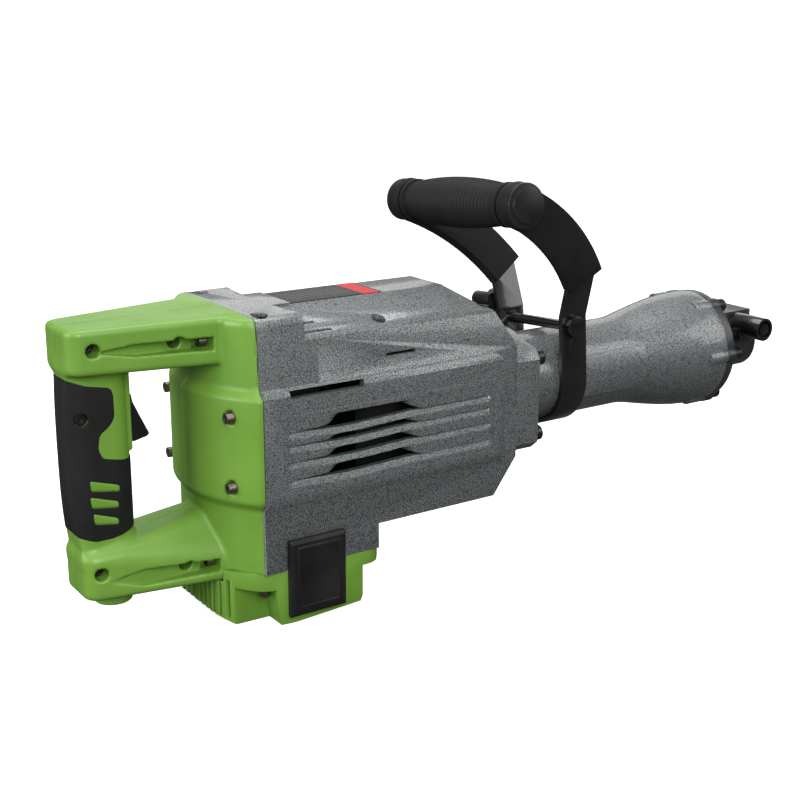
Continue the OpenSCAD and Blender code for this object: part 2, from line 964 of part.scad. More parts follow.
// Grip column [x, y] section, grown by t
module dgrip_section(t) {
    r = dgrip_y + t;
    back = dgrip_back_x + dgrip_y;
    front = dgrip_front_x - dgrip_y;
    translate([back, 0])
        circle(r = r);
    translate([front, 0])
        circle(r = r);
    translate([back, -r])
        square([front - back, 2 * r]);
}

// Grip column from z0 to z1, grown by t, with its back bowed
module dgrip(t, z0, z1) {
    intersection() {
        translate([0, 0, z0])
            linear_extrude(z1 - z0)
                dgrip_section(t);
        bar_y(-40, 40, dgrip_back_x + 429.8, 8, 429.5 + t);
    }
}

// Part of the grip that the rubber skin covers, as an [x, z] outline
module skin_outline() {
    difference() {
        polygon([[-716, 64], [-692, 57], [-677, 54.5], [-673, 50], [-673, 31], [-678, 24], [-685, 19],
                 [-687, 9], [-683, 1.5], [-650, -2.6], [-650, -52], [-662, -55], [-689, -61], [-716, -54]]);
        skin_window(-694.3, -13.8, -672.5, 7.6, 4.2);
        skin_window(-694.6, -26.2, -674, 8, 4);
        skin_window(-693.2, -39.2, -674.7, 7.8, 4);
    }
}

// Tapered window that drops from x0 to x1 and narrows from h0 to h1
module skin_window(x0, z0, x1, h0, h1) {
    drop = 7.5;
    polygon([[x0, z0], [x1, z0 - drop], [x1, z0 - drop - h1], [x0 + 1, z0 - h0]]);
}

module skin_cut(side) {
    difference() {
        intersection() {
            dgrip(0.5, -70, 70);
            along_y(side < 0 ? -40 : 0, side < 0 ? 0 : 40)
                skin_outline();
        }
        dgrip(-1.6, -71, 71);
    }
}

module handle_solid() {
    difference() {
        union() {
            cover_outer();
            arms();
            dgrip(0, -72, 68);
            // Lip round the trigger slot
            box([-666, -10.5, 1.5], [dgrip_front_x + 0.4, 10.5, 62]);
        }
        cover_hollow();
        // Hollow of the grip, for the switch and wires
        box([-694, -13, -60], [-668, 13, 60]);
        box([-669, -7.6, 4.5], [-650, 7.6, 47]);
        bar_y(-9.2, 9.2, trigger_pivot[0], trigger_pivot[1], trigger_pin_r + run_gap);
        // Wire way from the grip down to the cord boss
        bar_z(-95, -58, cord_x, 0, 8);
        bar_z(-117.5, -94, cord_x, 0, cord_bore_r);
        // Skin recess
        for (side = [-1, 1])
            skin_cut(side);
        // Side channels of the arms, and the seats of the arm screws
        on_both_sides() {
            along_y(26, 50)
                polygon([[-603, 76], [-603, 85.5], [-660, 86], [-686, 82.5], [-660, 77]]);
            box([-614, 19.5, 76], [-603, 50, 85.5]);
            along_y(26, 50)
                polygon([[-603, -98], [-603, -88], [-660, -86], [-686, -91.5], [-660, -99]]);
            box([-614, 19.5, -98], [-603, 50, -88]);
            for (s = arm_screw_spots)
                bar_x(-604, seam_x, s[0], s[1], m5[2] + 0.2);
            for (s = cover_screw_spots) {
                bar_x(-620, cover_seat_x, s[0], s[1], m5[0] + 1.3);
                bar_x(cover_seat_x - 1, seam_x + 1, s[0], s[1], m5[2] + 0.2);
            }
        }
        for (s = handle_screw_spots) {
            bar_y(-50, -9, s[0], s[1], 5.2);
            bar_y(-10, 12, s[0], s[1], m5[2]);
        }
    }
}

// Room of the far half: everything at plus Y but the cord boss
module far_half_room() {
    difference() {
        box([-720, 0, -125], [seam_x + 1, 80, 105]);
        box([-690, -1, -126], [-650, 20, boss_top_z]);
    }
}

module handle_near() {
    color(green)
    difference() {
        handle_solid();
        far_half_room();
    }
}

module handle_far() {
    color(green)
    intersection() {
        handle_solid();
        far_half_room();
    }
}

module skin_holes() {
    bar_y(-40, -9, handle_screw_spots[4][0], handle_screw_spots[4][1], 5.2);
}

module grip_skin_near() {
    color(rubber)
    difference() {
        skin_cut(-1);
        skin_holes();
    }
}

module grip_skin_far() {
    color(rubber)
        skin_cut(1);
}

module switch_body() {
    color(black)
    union() {
        box([-693, -12, 2], [-674, 12, 46]);
        box([-674, -4, 20], [-671.8, 4, 28]);
    }
}

module trigger() {
    x = trigger_pivot[0];
    z = trigger_pivot[1];
    color(black)
    union() {
        along_y(-7, 7)
            polygon([[-666, 43], [-661, 45.5], [-655, 43], [-654, 37], [-649, 26], [-642, 11], [-644, 9],
                     [-654, 6.7], [-663, 8], [-666, 12]]);
        // Pivot pin, held in the handle on both sides
        bar_y(-9, 9, x, z, trigger_pin_r);
    }
}

// ---------------------------------------------------------------- tail cover

function tail_plan(t) = mirrored(concat(
    [[-473 - t, 52 - t]],
    arc(-489, 52, 16 - t, 17 - t, 0, 90, 5),
    arc(-558, 24, 48 - t, 45 - t, 90, 180, 12)));

module tail_cover() {
    bottom_z = -141;
    color(green)
    difference() {
        intersection() {
            translate([0, 0, bottom_z - 1])
                linear_extrude(tail_top_z - bottom_z + 1)
                    polygon(tail_plan(0));
            along_y(-80, 80)
                polygon([[-606.5, tail_top_z], [-473, tail_top_z], [-473, -100.6], [-493, -131], [-496, -138],
                         [-554, bottom_z], [-596, bottom_z + 1], [-606.5, bottom_z + 6]]);
        }
        difference() {
            intersection() {
                translate([0, 0, bottom_z])
                    linear_extrude(60)
                        polygon(tail_plan(wall));
                along_y(-80, 80)
                    polygon([[-604, -90], [-476.5, -90], [-476.5, -101], [-496, -131], [-498, -135],
                             [-554, bottom_z + wall], [-596, bottom_z + wall + 1], [-604, bottom_z + 9]]);
            }
            // Seat of the armature's lower bearing, on a cross web
            bar_z(bottom_z, -124, motor_x, 0, 15);
            box([motor_x - 2, -66, bottom_z], [motor_x + 2, 66, -131]);
            // Walls round the screw notches
            on_both_sides() {
                box([-600, 46, bottom_z], [-567, 72, -104]);
                box([-498, 46, -115], [-470, 72, tail_top_z]);
            }
        }
        // Room for the lower arm
        box([-620, -41, -106.2], [-593.8, 41, tail_top_z + eps]);
        bar_z(-131, -120, motor_x, 0, 11);
        bar_z(-138, -120, motor_x, 0, 6);
        on_both_sides() {
            // Screw notches
            along_y(49, 80)
                polygon([[-597, -109], [-581, -111.4], [-571, -111.4], [-567, bottom_z - 5], [-602, bottom_z - 5]]);
            box([-494, 44, -140], [-470, 80, -108]);
            bar_z(-115, -90, tail_screw_rear[0] + 8, tail_screw_rear[1], m5[2] + 0.2);
            bar_z(-115, -90, tail_screw_front[0] - 3, tail_screw_front[1], m5[2] + 0.2);
            // Cooling slots round the rear
            for (y = [4.5 : 7.6 : 43])
                box([-612, y, -136], [-585, y + 3.6, -104]);
        }
    }
}

module brush_cover() {
    difference() {
        union() {
            hull() {
                box([-562, 69.3, -134], [-512.5, 73.5, -72]);
                box([-559.5, 73, -131.5], [-515, 75.2, -74.5]);
            }
            difference() {
                box([-556.5, 75, -128.5], [-518, 75.9, -77.5]);
                box([-554, 74, -126], [-520.5, 77, -80]);
            }
        }
    }
}

module brush_cover_near() {
    color(black)
        mirror([0, 1, 0])
            brush_cover();
}

module brush_cover_far() {
    color(black)
        brush_cover();
}

// ---------------------------------------------------------------- screws

module handle_screws() {
    color(screw_grey)
    for (s = handle_screw_spots)
        translate([s[0], -9 - 1.25, s[1]])
            rotate([-90, 0, 0])
                cap_screw([4.1, 4, m5[2]], 21);
}

module cover_screws() {
    color(screw_grey)
    on_both_sides() {
        for (s = cover_screw_spots)
            translate([cover_seat_x, s[0], s[1]])
                rotate([0, 90, 0])
                    cap_screw(m5, 26.5);
        for (s = arm_screw_spots)
            translate([-603, s[0], s[1]])
                rotate([0, 90, 0])
                    cap_screw(m5, s[1] > 0 ? 32 : 31);
    }
}

module roof_screws() {
    color(screw_grey)
    on_both_sides() {
        for (x = ledge_screw_x)
            translate([x, ledge_screw_y, 81])
                rotate([180, 0, 0])
                    cap_screw([4.2, 2.6, m5[2]], 18);
        translate([corner_screw[0], corner_screw[1], 86])
            rotate([180, 0, 0])
                cap_screw([4.2, 3.4, m5[2]], 12);
    }
}

module tail_screws() {
    color(screw_grey)
    on_both_sides() {
        translate([tail_screw_rear[0] + 8, tail_screw_rear[1], -111.4])
            cap_screw(m5, 25);
        translate([tail_screw_front[0] - 3, tail_screw_front[1], -108])
            cap_screw(m5, 20);
    }
}

module flange_screws() {
    color(screw_grey)
    on_both_sides()
        for (z = [-flange_screw_spot[1], flange_screw_spot[1]])
            translate([-316.5, flange_screw_spot[0], z])
                rotate([0, -90, 0])
                    cap_screw(m8, 38);
}

module nose_screws() {
    color(screw_grey)
    for (a = [0 : 60 : 300])
        rotate([a, 0, 0])
            translate([-62, nose_screw_circle_r, 0])
                rotate([0, -90, 0])
                    cap_screw(m8, 26);
}

// ---------------------------------------------------------------- front handle

strap_in_r = barrel_r + 0.3;
strap_mid_y = strap_in_r + strap_t / 2;
bend_z = 56;
grip_s = 108;
arm_arc_r = 194.7;
arm_arc_x = strap_x - 159.6;
arm_arc_s = -72.4;
hub_start = 63;
hub_end = 83.5;

// Turns the front handle about the barrel
module handle_frame() {
    rotate([-handle_turn, 0, 0])
        children();
}

// Arm outline [x, s] in the leaning plane, widened by w, from the angle start on
module arm_outline(w, start) {
    inner = arm_arc_r - strap_w / 2 - w;
    outer = arm_arc_r + strap_w / 2 + w;
    far = 260;
    translate([arm_arc_x, arm_arc_s])
        intersection() {
            difference() {
                circle(r = outer, $fn = 240);
                circle(r = inner, $fn = 240);
            }
            polygon([[0, 0], [far * cos(start), far * sin(start)], [far * cos(50), far * sin(50)],
                     [far * cos(67.5), far * sin(67.5)]]);
        }
    translate([grip_x, grip_s])
        circle(r = strap_w / 2 + w + 0.4);
}

// Straight leg below the arc, widened by w
module leg_outline(w) {
    left = strap_x - strap_w / 2 - w;
    right = strap_x + strap_w / 2 + w;
    polygon([[left, -0.2], [right, -0.2], [right, 43.6], [strap_x + 2, 44], [left, 33]]);
}

// Leaning plate of thickness t, on the far side
module arm_plate(t) {
    translate([0, strap_mid_y, bend_z])
        rotate([-arm_lean, 0, 0])
            rotate([90, 0, 0])
                linear_extrude(t, center = true)
                    children();
}

// The strap's part of the leaning arm
module strap_arm(w) {
    arm_plate(strap_t) {
        arm_outline(w, 34);
        leg_outline(w);
    }
}

module strap_blank() {
    difference() {
        bar_x(strap_x - strap_w / 2, strap_x + strap_w / 2, 0, 0, strap_in_r + strap_t);
        bar_x(strap_x - strap_w, strap_x + strap_w, 0, 0, strap_in_r);
        box([strap_x - strap_w, -60, 0], [strap_x + strap_w, 60, 60]);
    }
    on_both_sides() {
        box([strap_x - strap_w / 2, strap_in_r, 0], [strap_x + strap_w / 2, strap_in_r + strap_t, bend_z + 0.8]);
        // A hair narrower than the leg, so that no two faces of the bend lie in one plane
        strap_arm(-0.05);
    }
}

module strap() {
    color(black)
    handle_frame()
    difference() {
        strap_blank();
        bar_y(-100, 100, grip_x, grip_z, 8);
        bar_y(-60, 60, strap_x, 46.5, 4.6);
    }
}

module arm_skin() {
    difference() {
        union() {
            arm_plate(11)
                arm_outline(4, 33.3);
            bar_y(hub_start, hub_end, grip_x, grip_z, 18.5);
        }
        strap_arm(0);
        bar_y(hub_start - 1, hub_end + 1, grip_x, grip_z, 8);
        // Groove beside the collar
        difference() {
            bar_y(hub_start + 4, hub_start + 7, grip_x, grip_z, 20);
            bar_y(hub_start + 3, hub_start + 8, grip_x, grip_z, 16);
            box([grip_x, 0, 0], [strap_x + 40, 100, grip_z]);
        }
        // Keeps the leaning plate out of the cap and the grip rubber
        bar_y(hub_end, hub_end + 20, grip_x, grip_z, 30);
        bar_y(hub_start - 30, hub_start, grip_x, grip_z, 30);
    }
}

module arm_skin_near() {
    color(rubber)
    handle_frame()
        mirror([0, 1, 0])
            arm_skin();
}

module arm_skin_far() {
    color(rubber)
    handle_frame()
        arm_skin();
}

module grip_tube() {
    color(steel)
    handle_frame()
    difference() {
        bar_y(-hub_end, hub_end, grip_x, grip_z, 8);
        bar_y(-hub_end - 1, hub_end + 1, grip_x, grip_z, 5);
    }
}

// Half-profile of the ribbed rubber grip [r, s]: a barrel shape with fine rings
module grip_rubber() {
    rings = 28;
    half = hub_start - 0.5;
    color(rubber)
    handle_frame()
    translate([grip_x, 0, grip_z])
        rotate([-90, 0, 0])
            rotate_extrude($fn = 64)
                polygon(concat([[8, -half], [16.5, -half]],
                    [for (i = [0 : rings], side = [0, 1])
                        let (s = -half + 4 + (2 * half - 8) * (i + side * 0.45) / (rings + 0.45))
                            [16.5 + 5 * (1 - pow(s / half, 2)) - side * 0.9, s]],
                    [[16.5, half], [8, half]]));
}

module grip_caps() {
    color(black)
    handle_frame()
    on_both_sides() {
        bar_y(hub_end, hub_end + 3, grip_x, grip_z, 18.5);
        bar_y(hub_end + 2, grip_half, grip_x, grip_z, 14.5);
        bar_y(hub_end - 10, hub_end + 1, grip_x, grip_z, 5);
    }
}

module tie_rod() {
    color(black)
    handle_frame()
    union() {
        bar_y(-strap_in_r - strap_t - 4, 74, strap_x, 46.5, 4.5);
        bar_y(-strap_in_r - strap_t - 5, -strap_in_r - strap_t, strap_x, 46.5, 9.5);
        // Washer on the knob's side
        bar_y(strap_in_r + strap_t, strap_in_r + strap_t + 2, strap_x, 46.5, 9.5);
    }
}

module clamp_knob() {
    lobes = 6;
    hub_y = strap_in_r + strap_t + 2 + 0.3;
    color(black)
    handle_frame()
    difference() {
        union() {
            bar_y(hub_y, 58, strap_x, 46.5, 9.4);
            bar_y(56, 82, strap_x, 46.5, 18);
            for (i = [0 : lobes - 1])
                translate([strap_x, 0, 46.5])
                    rotate([0, i * 360 / lobes, 0])
                        bar_y(57, 81, 17.5, 0, 7);
        }
        bar_y(hub_y - 1, 75, strap_x, 46.5, 4.5 + run_gap);
    }
}

housing();
rating_label();
crankcase();
gear_cover();
motor_can();
barrel();
front_cover();
tool_sleeve();
cushion_ring();
hammer_holder();
cylinder_liner();
handle_near();
handle_far();
grip_skin_near();
grip_skin_far();
tail_cover();
brush_cover_near();
brush_cover_far();
brush_holders();
carbon_brushes();
handle_screws();
cover_screws();
roof_screws();
tail_screws();
flange_screws();
nose_screws();
stator_core();
stator_coils();
switch_body();
bearing_armature_top();
bearing_armature_bottom();
bearing_crank();
bearing_second_low();
bearing_second_top();
trigger();
stop_lever();
armature_shaft();
armature_core();
commutator();
fan();
second_gear();
second_shaft();
crankshaft();
crank_gear();
connecting_rod();
crank_pin();
piston();
piston_pin();
piston_rings();
striker();
striker_rings();
second_hammer();
strap();
arm_skin_near();
arm_skin_far();
grip_tube();
grip_rubber();
grip_caps();
tie_rod();
clamp_knob();
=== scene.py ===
import json
import math

import bmesh
import bpy
import numpy as np
from mathutils import Matrix, Vector

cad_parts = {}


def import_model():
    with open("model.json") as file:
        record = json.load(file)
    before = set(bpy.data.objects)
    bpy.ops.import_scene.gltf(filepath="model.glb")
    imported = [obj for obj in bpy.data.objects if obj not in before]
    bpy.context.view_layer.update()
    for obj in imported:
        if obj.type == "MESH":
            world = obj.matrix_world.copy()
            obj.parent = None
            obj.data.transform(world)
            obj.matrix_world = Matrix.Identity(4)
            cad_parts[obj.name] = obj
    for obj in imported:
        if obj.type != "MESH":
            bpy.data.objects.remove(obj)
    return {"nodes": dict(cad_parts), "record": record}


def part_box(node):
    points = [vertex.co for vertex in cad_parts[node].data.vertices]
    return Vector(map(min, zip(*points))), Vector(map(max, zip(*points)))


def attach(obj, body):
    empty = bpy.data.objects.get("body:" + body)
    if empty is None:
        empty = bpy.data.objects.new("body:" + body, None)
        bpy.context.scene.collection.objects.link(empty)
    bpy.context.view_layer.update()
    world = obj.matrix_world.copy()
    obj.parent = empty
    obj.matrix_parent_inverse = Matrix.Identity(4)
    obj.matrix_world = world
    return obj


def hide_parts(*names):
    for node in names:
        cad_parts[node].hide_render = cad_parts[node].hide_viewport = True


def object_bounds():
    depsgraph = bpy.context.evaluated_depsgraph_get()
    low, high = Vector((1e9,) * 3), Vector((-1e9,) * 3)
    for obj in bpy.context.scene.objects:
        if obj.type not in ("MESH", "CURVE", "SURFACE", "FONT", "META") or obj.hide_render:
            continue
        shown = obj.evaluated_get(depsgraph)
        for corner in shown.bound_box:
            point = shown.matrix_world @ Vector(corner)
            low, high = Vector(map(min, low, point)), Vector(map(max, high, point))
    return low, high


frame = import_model()
cad_low, cad_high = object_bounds()

MM = 0.001
SLOT_OF = {s["node"]: s["material_slot"] for s in frame["record"]["subparts"]}
BODY_OF = {n: b for b, ns in frame["record"]["behaviour"]["bodies"].items() for n in ns}


# ------------------------------------------------------------------ materials


class Tree:
    """A material's node tree, with short calls for the nodes it uses."""

    def __init__(self, name, **values):
        self.material = bpy.data.materials.new(name)
        self.material.use_nodes = True
        self.nodes = self.material.node_tree.nodes
        self.links = self.material.node_tree.links
        self.nodes.clear()
        output = self.nodes.new("ShaderNodeOutputMaterial")
        self.shader = self.nodes.new("ShaderNodeBsdfPrincipled")
        self.links.new(self.shader.outputs[0], output.inputs[0])
        for key, value in values.items():
            self.shader.inputs[key.replace("_", " ")].default_value = value
        self.coords = self.nodes.new("ShaderNodeTexCoord").outputs["Object"]

    def put(self, socket, value):
        if isinstance(value, (int, float)):
            socket.default_value = value
        elif isinstance(value, (tuple, list)):
            socket.default_value = (*value, 1.0) if len(value) == 3 and socket.type == "RGBA" else value
        else:
            self.links.new(value, socket)

    def noise(self, scale, detail=2.0, rough=0.5, distortion=0.0, stretch=None):
        node = self.nodes.new("ShaderNodeTexNoise")
        node.inputs["Scale"].default_value = scale
        node.inputs["Detail"].default_value = detail
        node.inputs["Roughness"].default_value = rough
        node.inputs["Distortion"].default_value = distortion
        self.links.new(self.stretched(stretch), node.inputs["Vector"])
        return node.outputs["Fac"]

    def cells(self, scale):
        node = self.nodes.new("ShaderNodeTexVoronoi")
        node.inputs["Scale"].default_value = scale
        self.links.new(self.coords, node.inputs["Vector"])
        return node.outputs["Distance"]

    def stretched(self, stretch):
        if stretch is None:
            return self.coords
        node = self.nodes.new("ShaderNodeMapping")
        node.inputs["Scale"].default_value = stretch
        self.links.new(self.coords, node.inputs["Vector"])
        return node.outputs[0]

    def ramp(self, value, *stops):
        node = self.nodes.new("ShaderNodeValToRGB")
        self.links.new(value, node.inputs[0])
        elements = node.color_ramp.elements
        while len(elements) < len(stops):
            elements.new(0.5)
        for element, (at, colour) in zip(elements, stops):
            element.position = at
            element.color = (*colour, 1.0) if isinstance(colour, (tuple, list)) else (colour,) * 3 + (1.0,)
        return node.outputs[0]

    def span(self, value, low, high, to_low, to_high):
        node = self.nodes.new("ShaderNodeMapRange")
        node.inputs["From Min"].default_value = low
        node.inputs["From Max"].default_value = high
        node.inputs["To Min"].default_value = to_low
        node.inputs["To Max"].default_value = to_high
        self.links.new(value, node.inputs["Value"])
        return node.outputs[0]

    def mix(self, factor, a, b, blend="MIX"):
        node = self.nodes.new("ShaderNodeMix")
        node.data_type = "RGBA"
        node.blend_type = blend
        self.put(node.inputs["Factor"], factor)
        self.put(node.inputs["A"], a)
        self.put(node.inputs["B"], b)
        return node.outputs["Result"]

    def math(self, operation, a, b=0.0):
        node = self.nodes.new("ShaderNodeMath")
        node.operation = operation
        self.put(node.inputs[0], a)
        self.put(node.inputs[1], b)
        return node.outputs[0]

    def edges(self, radius, low, high):
        """1 along convex and concave edges within the radius, 0 on open faces."""
        bevel = self.nodes.new("ShaderNodeBevel")
        bevel.samples = 4
        bevel.inputs["Radius"].default_value = radius
        geometry = self.nodes.new("ShaderNodeNewGeometry")
        dot = self.nodes.new("ShaderNodeVectorMath")
        dot.operation = "DOT_PRODUCT"
        self.links.new(bevel.outputs[0], dot.inputs[0])
        self.links.new(geometry.outputs["Normal"], dot.inputs[1])
        return self.span(dot.outputs["Value"], high, low, 0.0, 1.0)

    def colour(self, value):
        self.put(self.shader.inputs["Base Color"], value)

    def rough(self, value):
        self.put(self.shader.inputs["Roughness"], value)

    def bump(self, height, distance, strength=1.0):
        node = self.nodes.new("ShaderNodeBump")
        node.inputs["Distance"].default_value = distance
        node.inputs["Strength"].default_value = strength
        self.links.new(height, node.inputs["Height"])
        self.links.new(node.outputs[0], self.shader.inputs["Normal"])


def hammertone():
    """Grey paint with dark veins round raised, silvery cells under a clear coat."""
    t = Tree("hammertone_paint", Metallic=0.55, Coat_Weight=0.6, Coat_Roughness=0.10)
    wander = t.nodes.new("ShaderNodeTexNoise")
    wander.inputs["Scale"].default_value = 420
    wander.inputs["Detail"].default_value = 2
    t.links.new(t.coords, wander.inputs["Vector"])
    shift = t.nodes.new("ShaderNodeVectorMath")
    shift.operation = "MULTIPLY_ADD"
    shift.inputs[1].default_value = (0.0022, 0.0022, 0.0022)
    t.links.new(wander.outputs["Color"], shift.inputs[0])
    t.links.new(t.coords, shift.inputs[2])
    veins = t.nodes.new("ShaderNodeTexVoronoi")
    veins.feature = "DISTANCE_TO_EDGE"
    veins.inputs["Scale"].default_value = 620
    t.links.new(shift.outputs[0], veins.inputs["Vector"])
    vein = veins.outputs["Distance"]
    cloud = t.noise(160, 4, 0.6)
    base = t.ramp(
        vein, (0.0, (0.032, 0.036, 0.036)), (0.07, (0.092, 0.101, 0.102)), (0.20, (0.275, 0.296, 0.298))
    )
    base = t.mix(t.span(cloud, 0.35, 0.7, 0.0, 0.35), base, (0.130, 0.141, 0.143))
    worn = t.edges(0.0009, 0.80, 0.97)
    t.colour(t.mix(t.math("MULTIPLY", worn, 0.35), base, (0.25, 0.26, 0.26)))
    t.rough(t.span(vein, 0.0, 0.25, 0.46, 0.32))
    t.bump(t.span(vein, 0.0, 0.22, 0.0, 1.0), 0.00016, 0.5)
    return t.material


def green_moulding():
    t = Tree("green_moulding", Specular_IOR_Level=0.42)
    grain = t.noise(1500, 3, 0.6)
    cloud = t.noise(14, 3, 0.55)
    streak = t.noise(60, 2, 0.5, 0.3, (1, 1, 0.25))
    base = t.mix(t.span(cloud, 0.35, 0.65, 0.0, 1.0), (0.104, 0.230, 0.025), (0.132, 0.268, 0.034))
    base = t.mix(t.span(streak, 0.55, 0.75, 0.0, 0.25), base, (0.082, 0.198, 0.018))
    patches = t.span(t.noise(90, 3, 0.6), 0.45, 0.7, 0.0, 0.5)
    scuffed = t.math("MULTIPLY", t.edges(0.0012, 0.82, 0.98), patches)
    t.colour(t.mix(scuffed, base, (0.26, 0.46, 0.12)))
    t.rough(t.span(t.noise(35, 3, 0.6), 0.3, 0.7, 0.34, 0.48))
    t.bump(grain, 0.00012, 0.35)
    return t.material


def dark_rubber():
    t = Tree("dark_rubber", Specular_IOR_Level=0.2)
    grain = t.cells(1300)
    cloud = t.noise(25, 4, 0.6)
    t.colour(t.mix(t.span(cloud, 0.3, 0.7, 0.0, 1.0), (0.005, 0.005, 0.006), (0.010, 0.010, 0.011)))
    t.rough(t.span(cloud, 0.3, 0.7, 0.58, 0.74))
    t.bump(t.math("ADD", grain, t.noise(700, 2)), 0.0001, 0.5)
    return t.material


def black_moulding():
    t = Tree("black_moulding", Specular_IOR_Level=0.4)
    cloud = t.noise(30, 3, 0.55)
    base = t.mix(t.span(cloud, 0.35, 0.65, 0.0, 1.0), (0.004, 0.004, 0.005), (0.008, 0.008, 0.009))
    t.colour(t.mix(t.math("MULTIPLY", t.edges(0.0008, 0.8, 0.97), 0.3), base, (0.05, 0.05, 0.052)))
    t.rough(t.span(cloud, 0.3, 0.7, 0.34, 0.48))
    t.bump(t.noise(1400, 3, 0.6), 0.0001, 0.4)
    return t.material


def black_enamel():
    t = Tree("black_enamel", Coat_Weight=0.6, Coat_Roughness=0.06)
    peel = t.noise(330, 2, 0.5)
    base = t.mix(t.span(t.noise(50, 3), 0.3, 0.7, 0.0, 1.0), (0.003, 0.003, 0.0035), (0.005, 0.005, 0.006))
    t.colour(t.mix(t.math("MULTIPLY", t.edges(0.0007, 0.78, 0.97), 0.35), base, (0.06, 0.058, 0.055)))
    t.rough(t.span(peel, 0.3, 0.7, 0.16, 0.26))
    t.bump(peel, 0.00008, 0.35)
    return t.material


def slate_paint():
    t = Tree("slate_paint", Metallic=0.1, Coat_Weight=0.25, Coat_Roughness=0.15)
    cast = t.noise(420, 4, 0.6)
    base = t.mix(t.span(t.noise(60, 3), 0.3, 0.7, 0.0, 1.0), (0.013, 0.014, 0.016), (0.024, 0.026, 0.029))
    t.colour(t.mix(t.math("MULTIPLY", t.edges(0.0008, 0.8, 0.97), 0.4), base, (0.12, 0.12, 0.125)))
    t.rough(t.span(cast, 0.3, 0.7, 0.32, 0.5))
    t.bump(cast, 0.00018, 0.5)
    return t.material


def machined_steel():
    t = Tree("machined_steel", Metallic=1.0)
    turned = t.noise(90, 3, 0.6, 0.0, (30, 1, 1))
    t.colour(t.mix(t.span(turned, 0.3, 0.7, 0.0, 1.0), (0.30, 0.30, 0.31), (0.46, 0.46, 0.47)))
    t.rough(t.span(t.noise(60, 3), 0.3, 0.7, 0.22, 0.38))
    t.bump(turned, 0.00004, 0.4)
    return t.material


def cast_alloy():
    t = Tree("cast_alloy", Metallic=0.85)
    cast = t.noise(520, 4, 0.65)
    t.colour(t.mix(t.span(cast, 0.3, 0.7, 0.0, 1.0), (0.34, 0.35, 0.36), (0.46, 0.47, 0.48)))
    t.rough(t.span(cast, 0.3, 0.7, 0.4, 0.58))
    t.bump(cast, 0.00015, 0.5)
    return t.material


def plated_screw():
    t = Tree("plated_screw", Metallic=1.0)
    stain = t.noise(420, 4, 0.65)
    base = t.mix(t.span(stain, 0.35, 0.7, 0.0, 1.0), (0.235, 0.205, 0.175), (0.130, 0.105, 0.085))
    t.colour(t.mix(t.math("MULTIPLY", t.edges(0.0004, 0.8, 0.97), 0.5), base, (0.42, 0.39, 0.35)))
    t.rough(t.span(stain, 0.3, 0.7, 0.26, 0.46))
    t.bump(stain, 0.00006, 0.4)
    return t.material


def dark_screw():
    t = Tree("dark_screw", Metallic=0.9)
    stain = t.noise(420, 4, 0.65)
    base = t.mix(t.span(stain, 0.35, 0.7, 0.0, 1.0), (0.060, 0.060, 0.062), (0.028, 0.028, 0.029))
    t.colour(t.mix(t.math("MULTIPLY", t.edges(0.0004, 0.8, 0.97), 0.4), base, (0.20, 0.20, 0.20)))
    t.rough(t.span(stain, 0.3, 0.7, 0.24, 0.42))
    t.bump(stain, 0.00006, 0.4)
    return t.material


def copper_wire():
    t = Tree("copper_wire", Metallic=0.9)
    strands = t.noise(300, 2, 0.5, 0.0, (1, 1, 6))
    t.colour(t.mix(t.span(strands, 0.3, 0.7, 0.0, 1.0), (0.42, 0.16, 0.06), (0.60, 0.27, 0.11)))
    t.rough(t.span(strands, 0.3, 0.7, 0.28, 0.44))
    t.bump(strands, 0.0002, 0.5)
    return t.material


def label_foil():
    t = Tree("label_foil", Specular_IOR_Level=0.25)
    paper = t.noise(260, 3, 0.6)
    low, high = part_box("rating_label")
    separate = t.nodes.new("ShaderNodeSeparateXYZ")
    t.links.new(t.coords, separate.inputs[0])
    x, y = separate.outputs["X"], separate.outputs["Y"]

    def within(value, start, end):
        return t.math("MULTIPLY", t.math("GREATER_THAN", value, start), t.math("LESS_THAN", value, end))

    base = t.mix(t.span(paper, 0.3, 0.7, 0.0, 1.0), (0.010, 0.010, 0.011), (0.018, 0.018, 0.020))
    # A red band across the front end, and three thin grey rules behind it
    base = t.mix(within(x, high.x - 0.017, high.x - 0.002), base, (0.42, 0.012, 0.010))
    along = within(x, low.x + 0.006, high.x - 0.022)
    for start in (0.014, 0.0215, 0.029):
        across = within(y, high.y - start - 0.0004, high.y - start + 0.0002)
        base = t.mix(t.math("MULTIPLY", across, along), base, (0.16, 0.16, 0.165))
    t.colour(base)
    t.rough(t.span(paper, 0.3, 0.7, 0.42, 0.54))
    t.bump(paper, 0.00004, 0.3)
    return t.material


def carbon():
    t = Tree("carbon", Specular_IOR_Level=0.4)
    grit = t.noise(900, 3, 0.6)
    t.colour(t.mix(t.span(grit, 0.3, 0.7, 0.0, 1.0), (0.012, 0.012, 0.013), (0.030, 0.030, 0.032)))
    t.rough(t.span(grit, 0.3, 0.7, 0.5, 0.7))
    t.bump(grit, 0.0001, 0.5)
    return t.material


for imported in bpy.data.materials:
    imported.name = "frame_" + imported.name

MATERIAL = {
    m.name: m
    for m in (
        hammertone(), green_moulding(), dark_rubber(), black_moulding(), black_enamel(), slate_paint(),
        machined_steel(), cast_alloy(), plated_screw(), dark_screw(), copper_wire(), label_foil(), carbon(),
    )
}


# ------------------------------------------------------------------ pieces from the frame's nodes


def smooth_object(name, mesh, body, slot, sharp=35.0):
    obj = bpy.data.objects.new(name, mesh)
    bpy.context.scene.collection.objects.link(obj)
    mesh.materials.clear()
    mesh.materials.append(MATERIAL[slot])
    for p in mesh.polygons:
        p.use_smooth = True
    mesh.set_sharp_from_angle(angle=math.radians(sharp))
    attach(obj, body)
    return obj


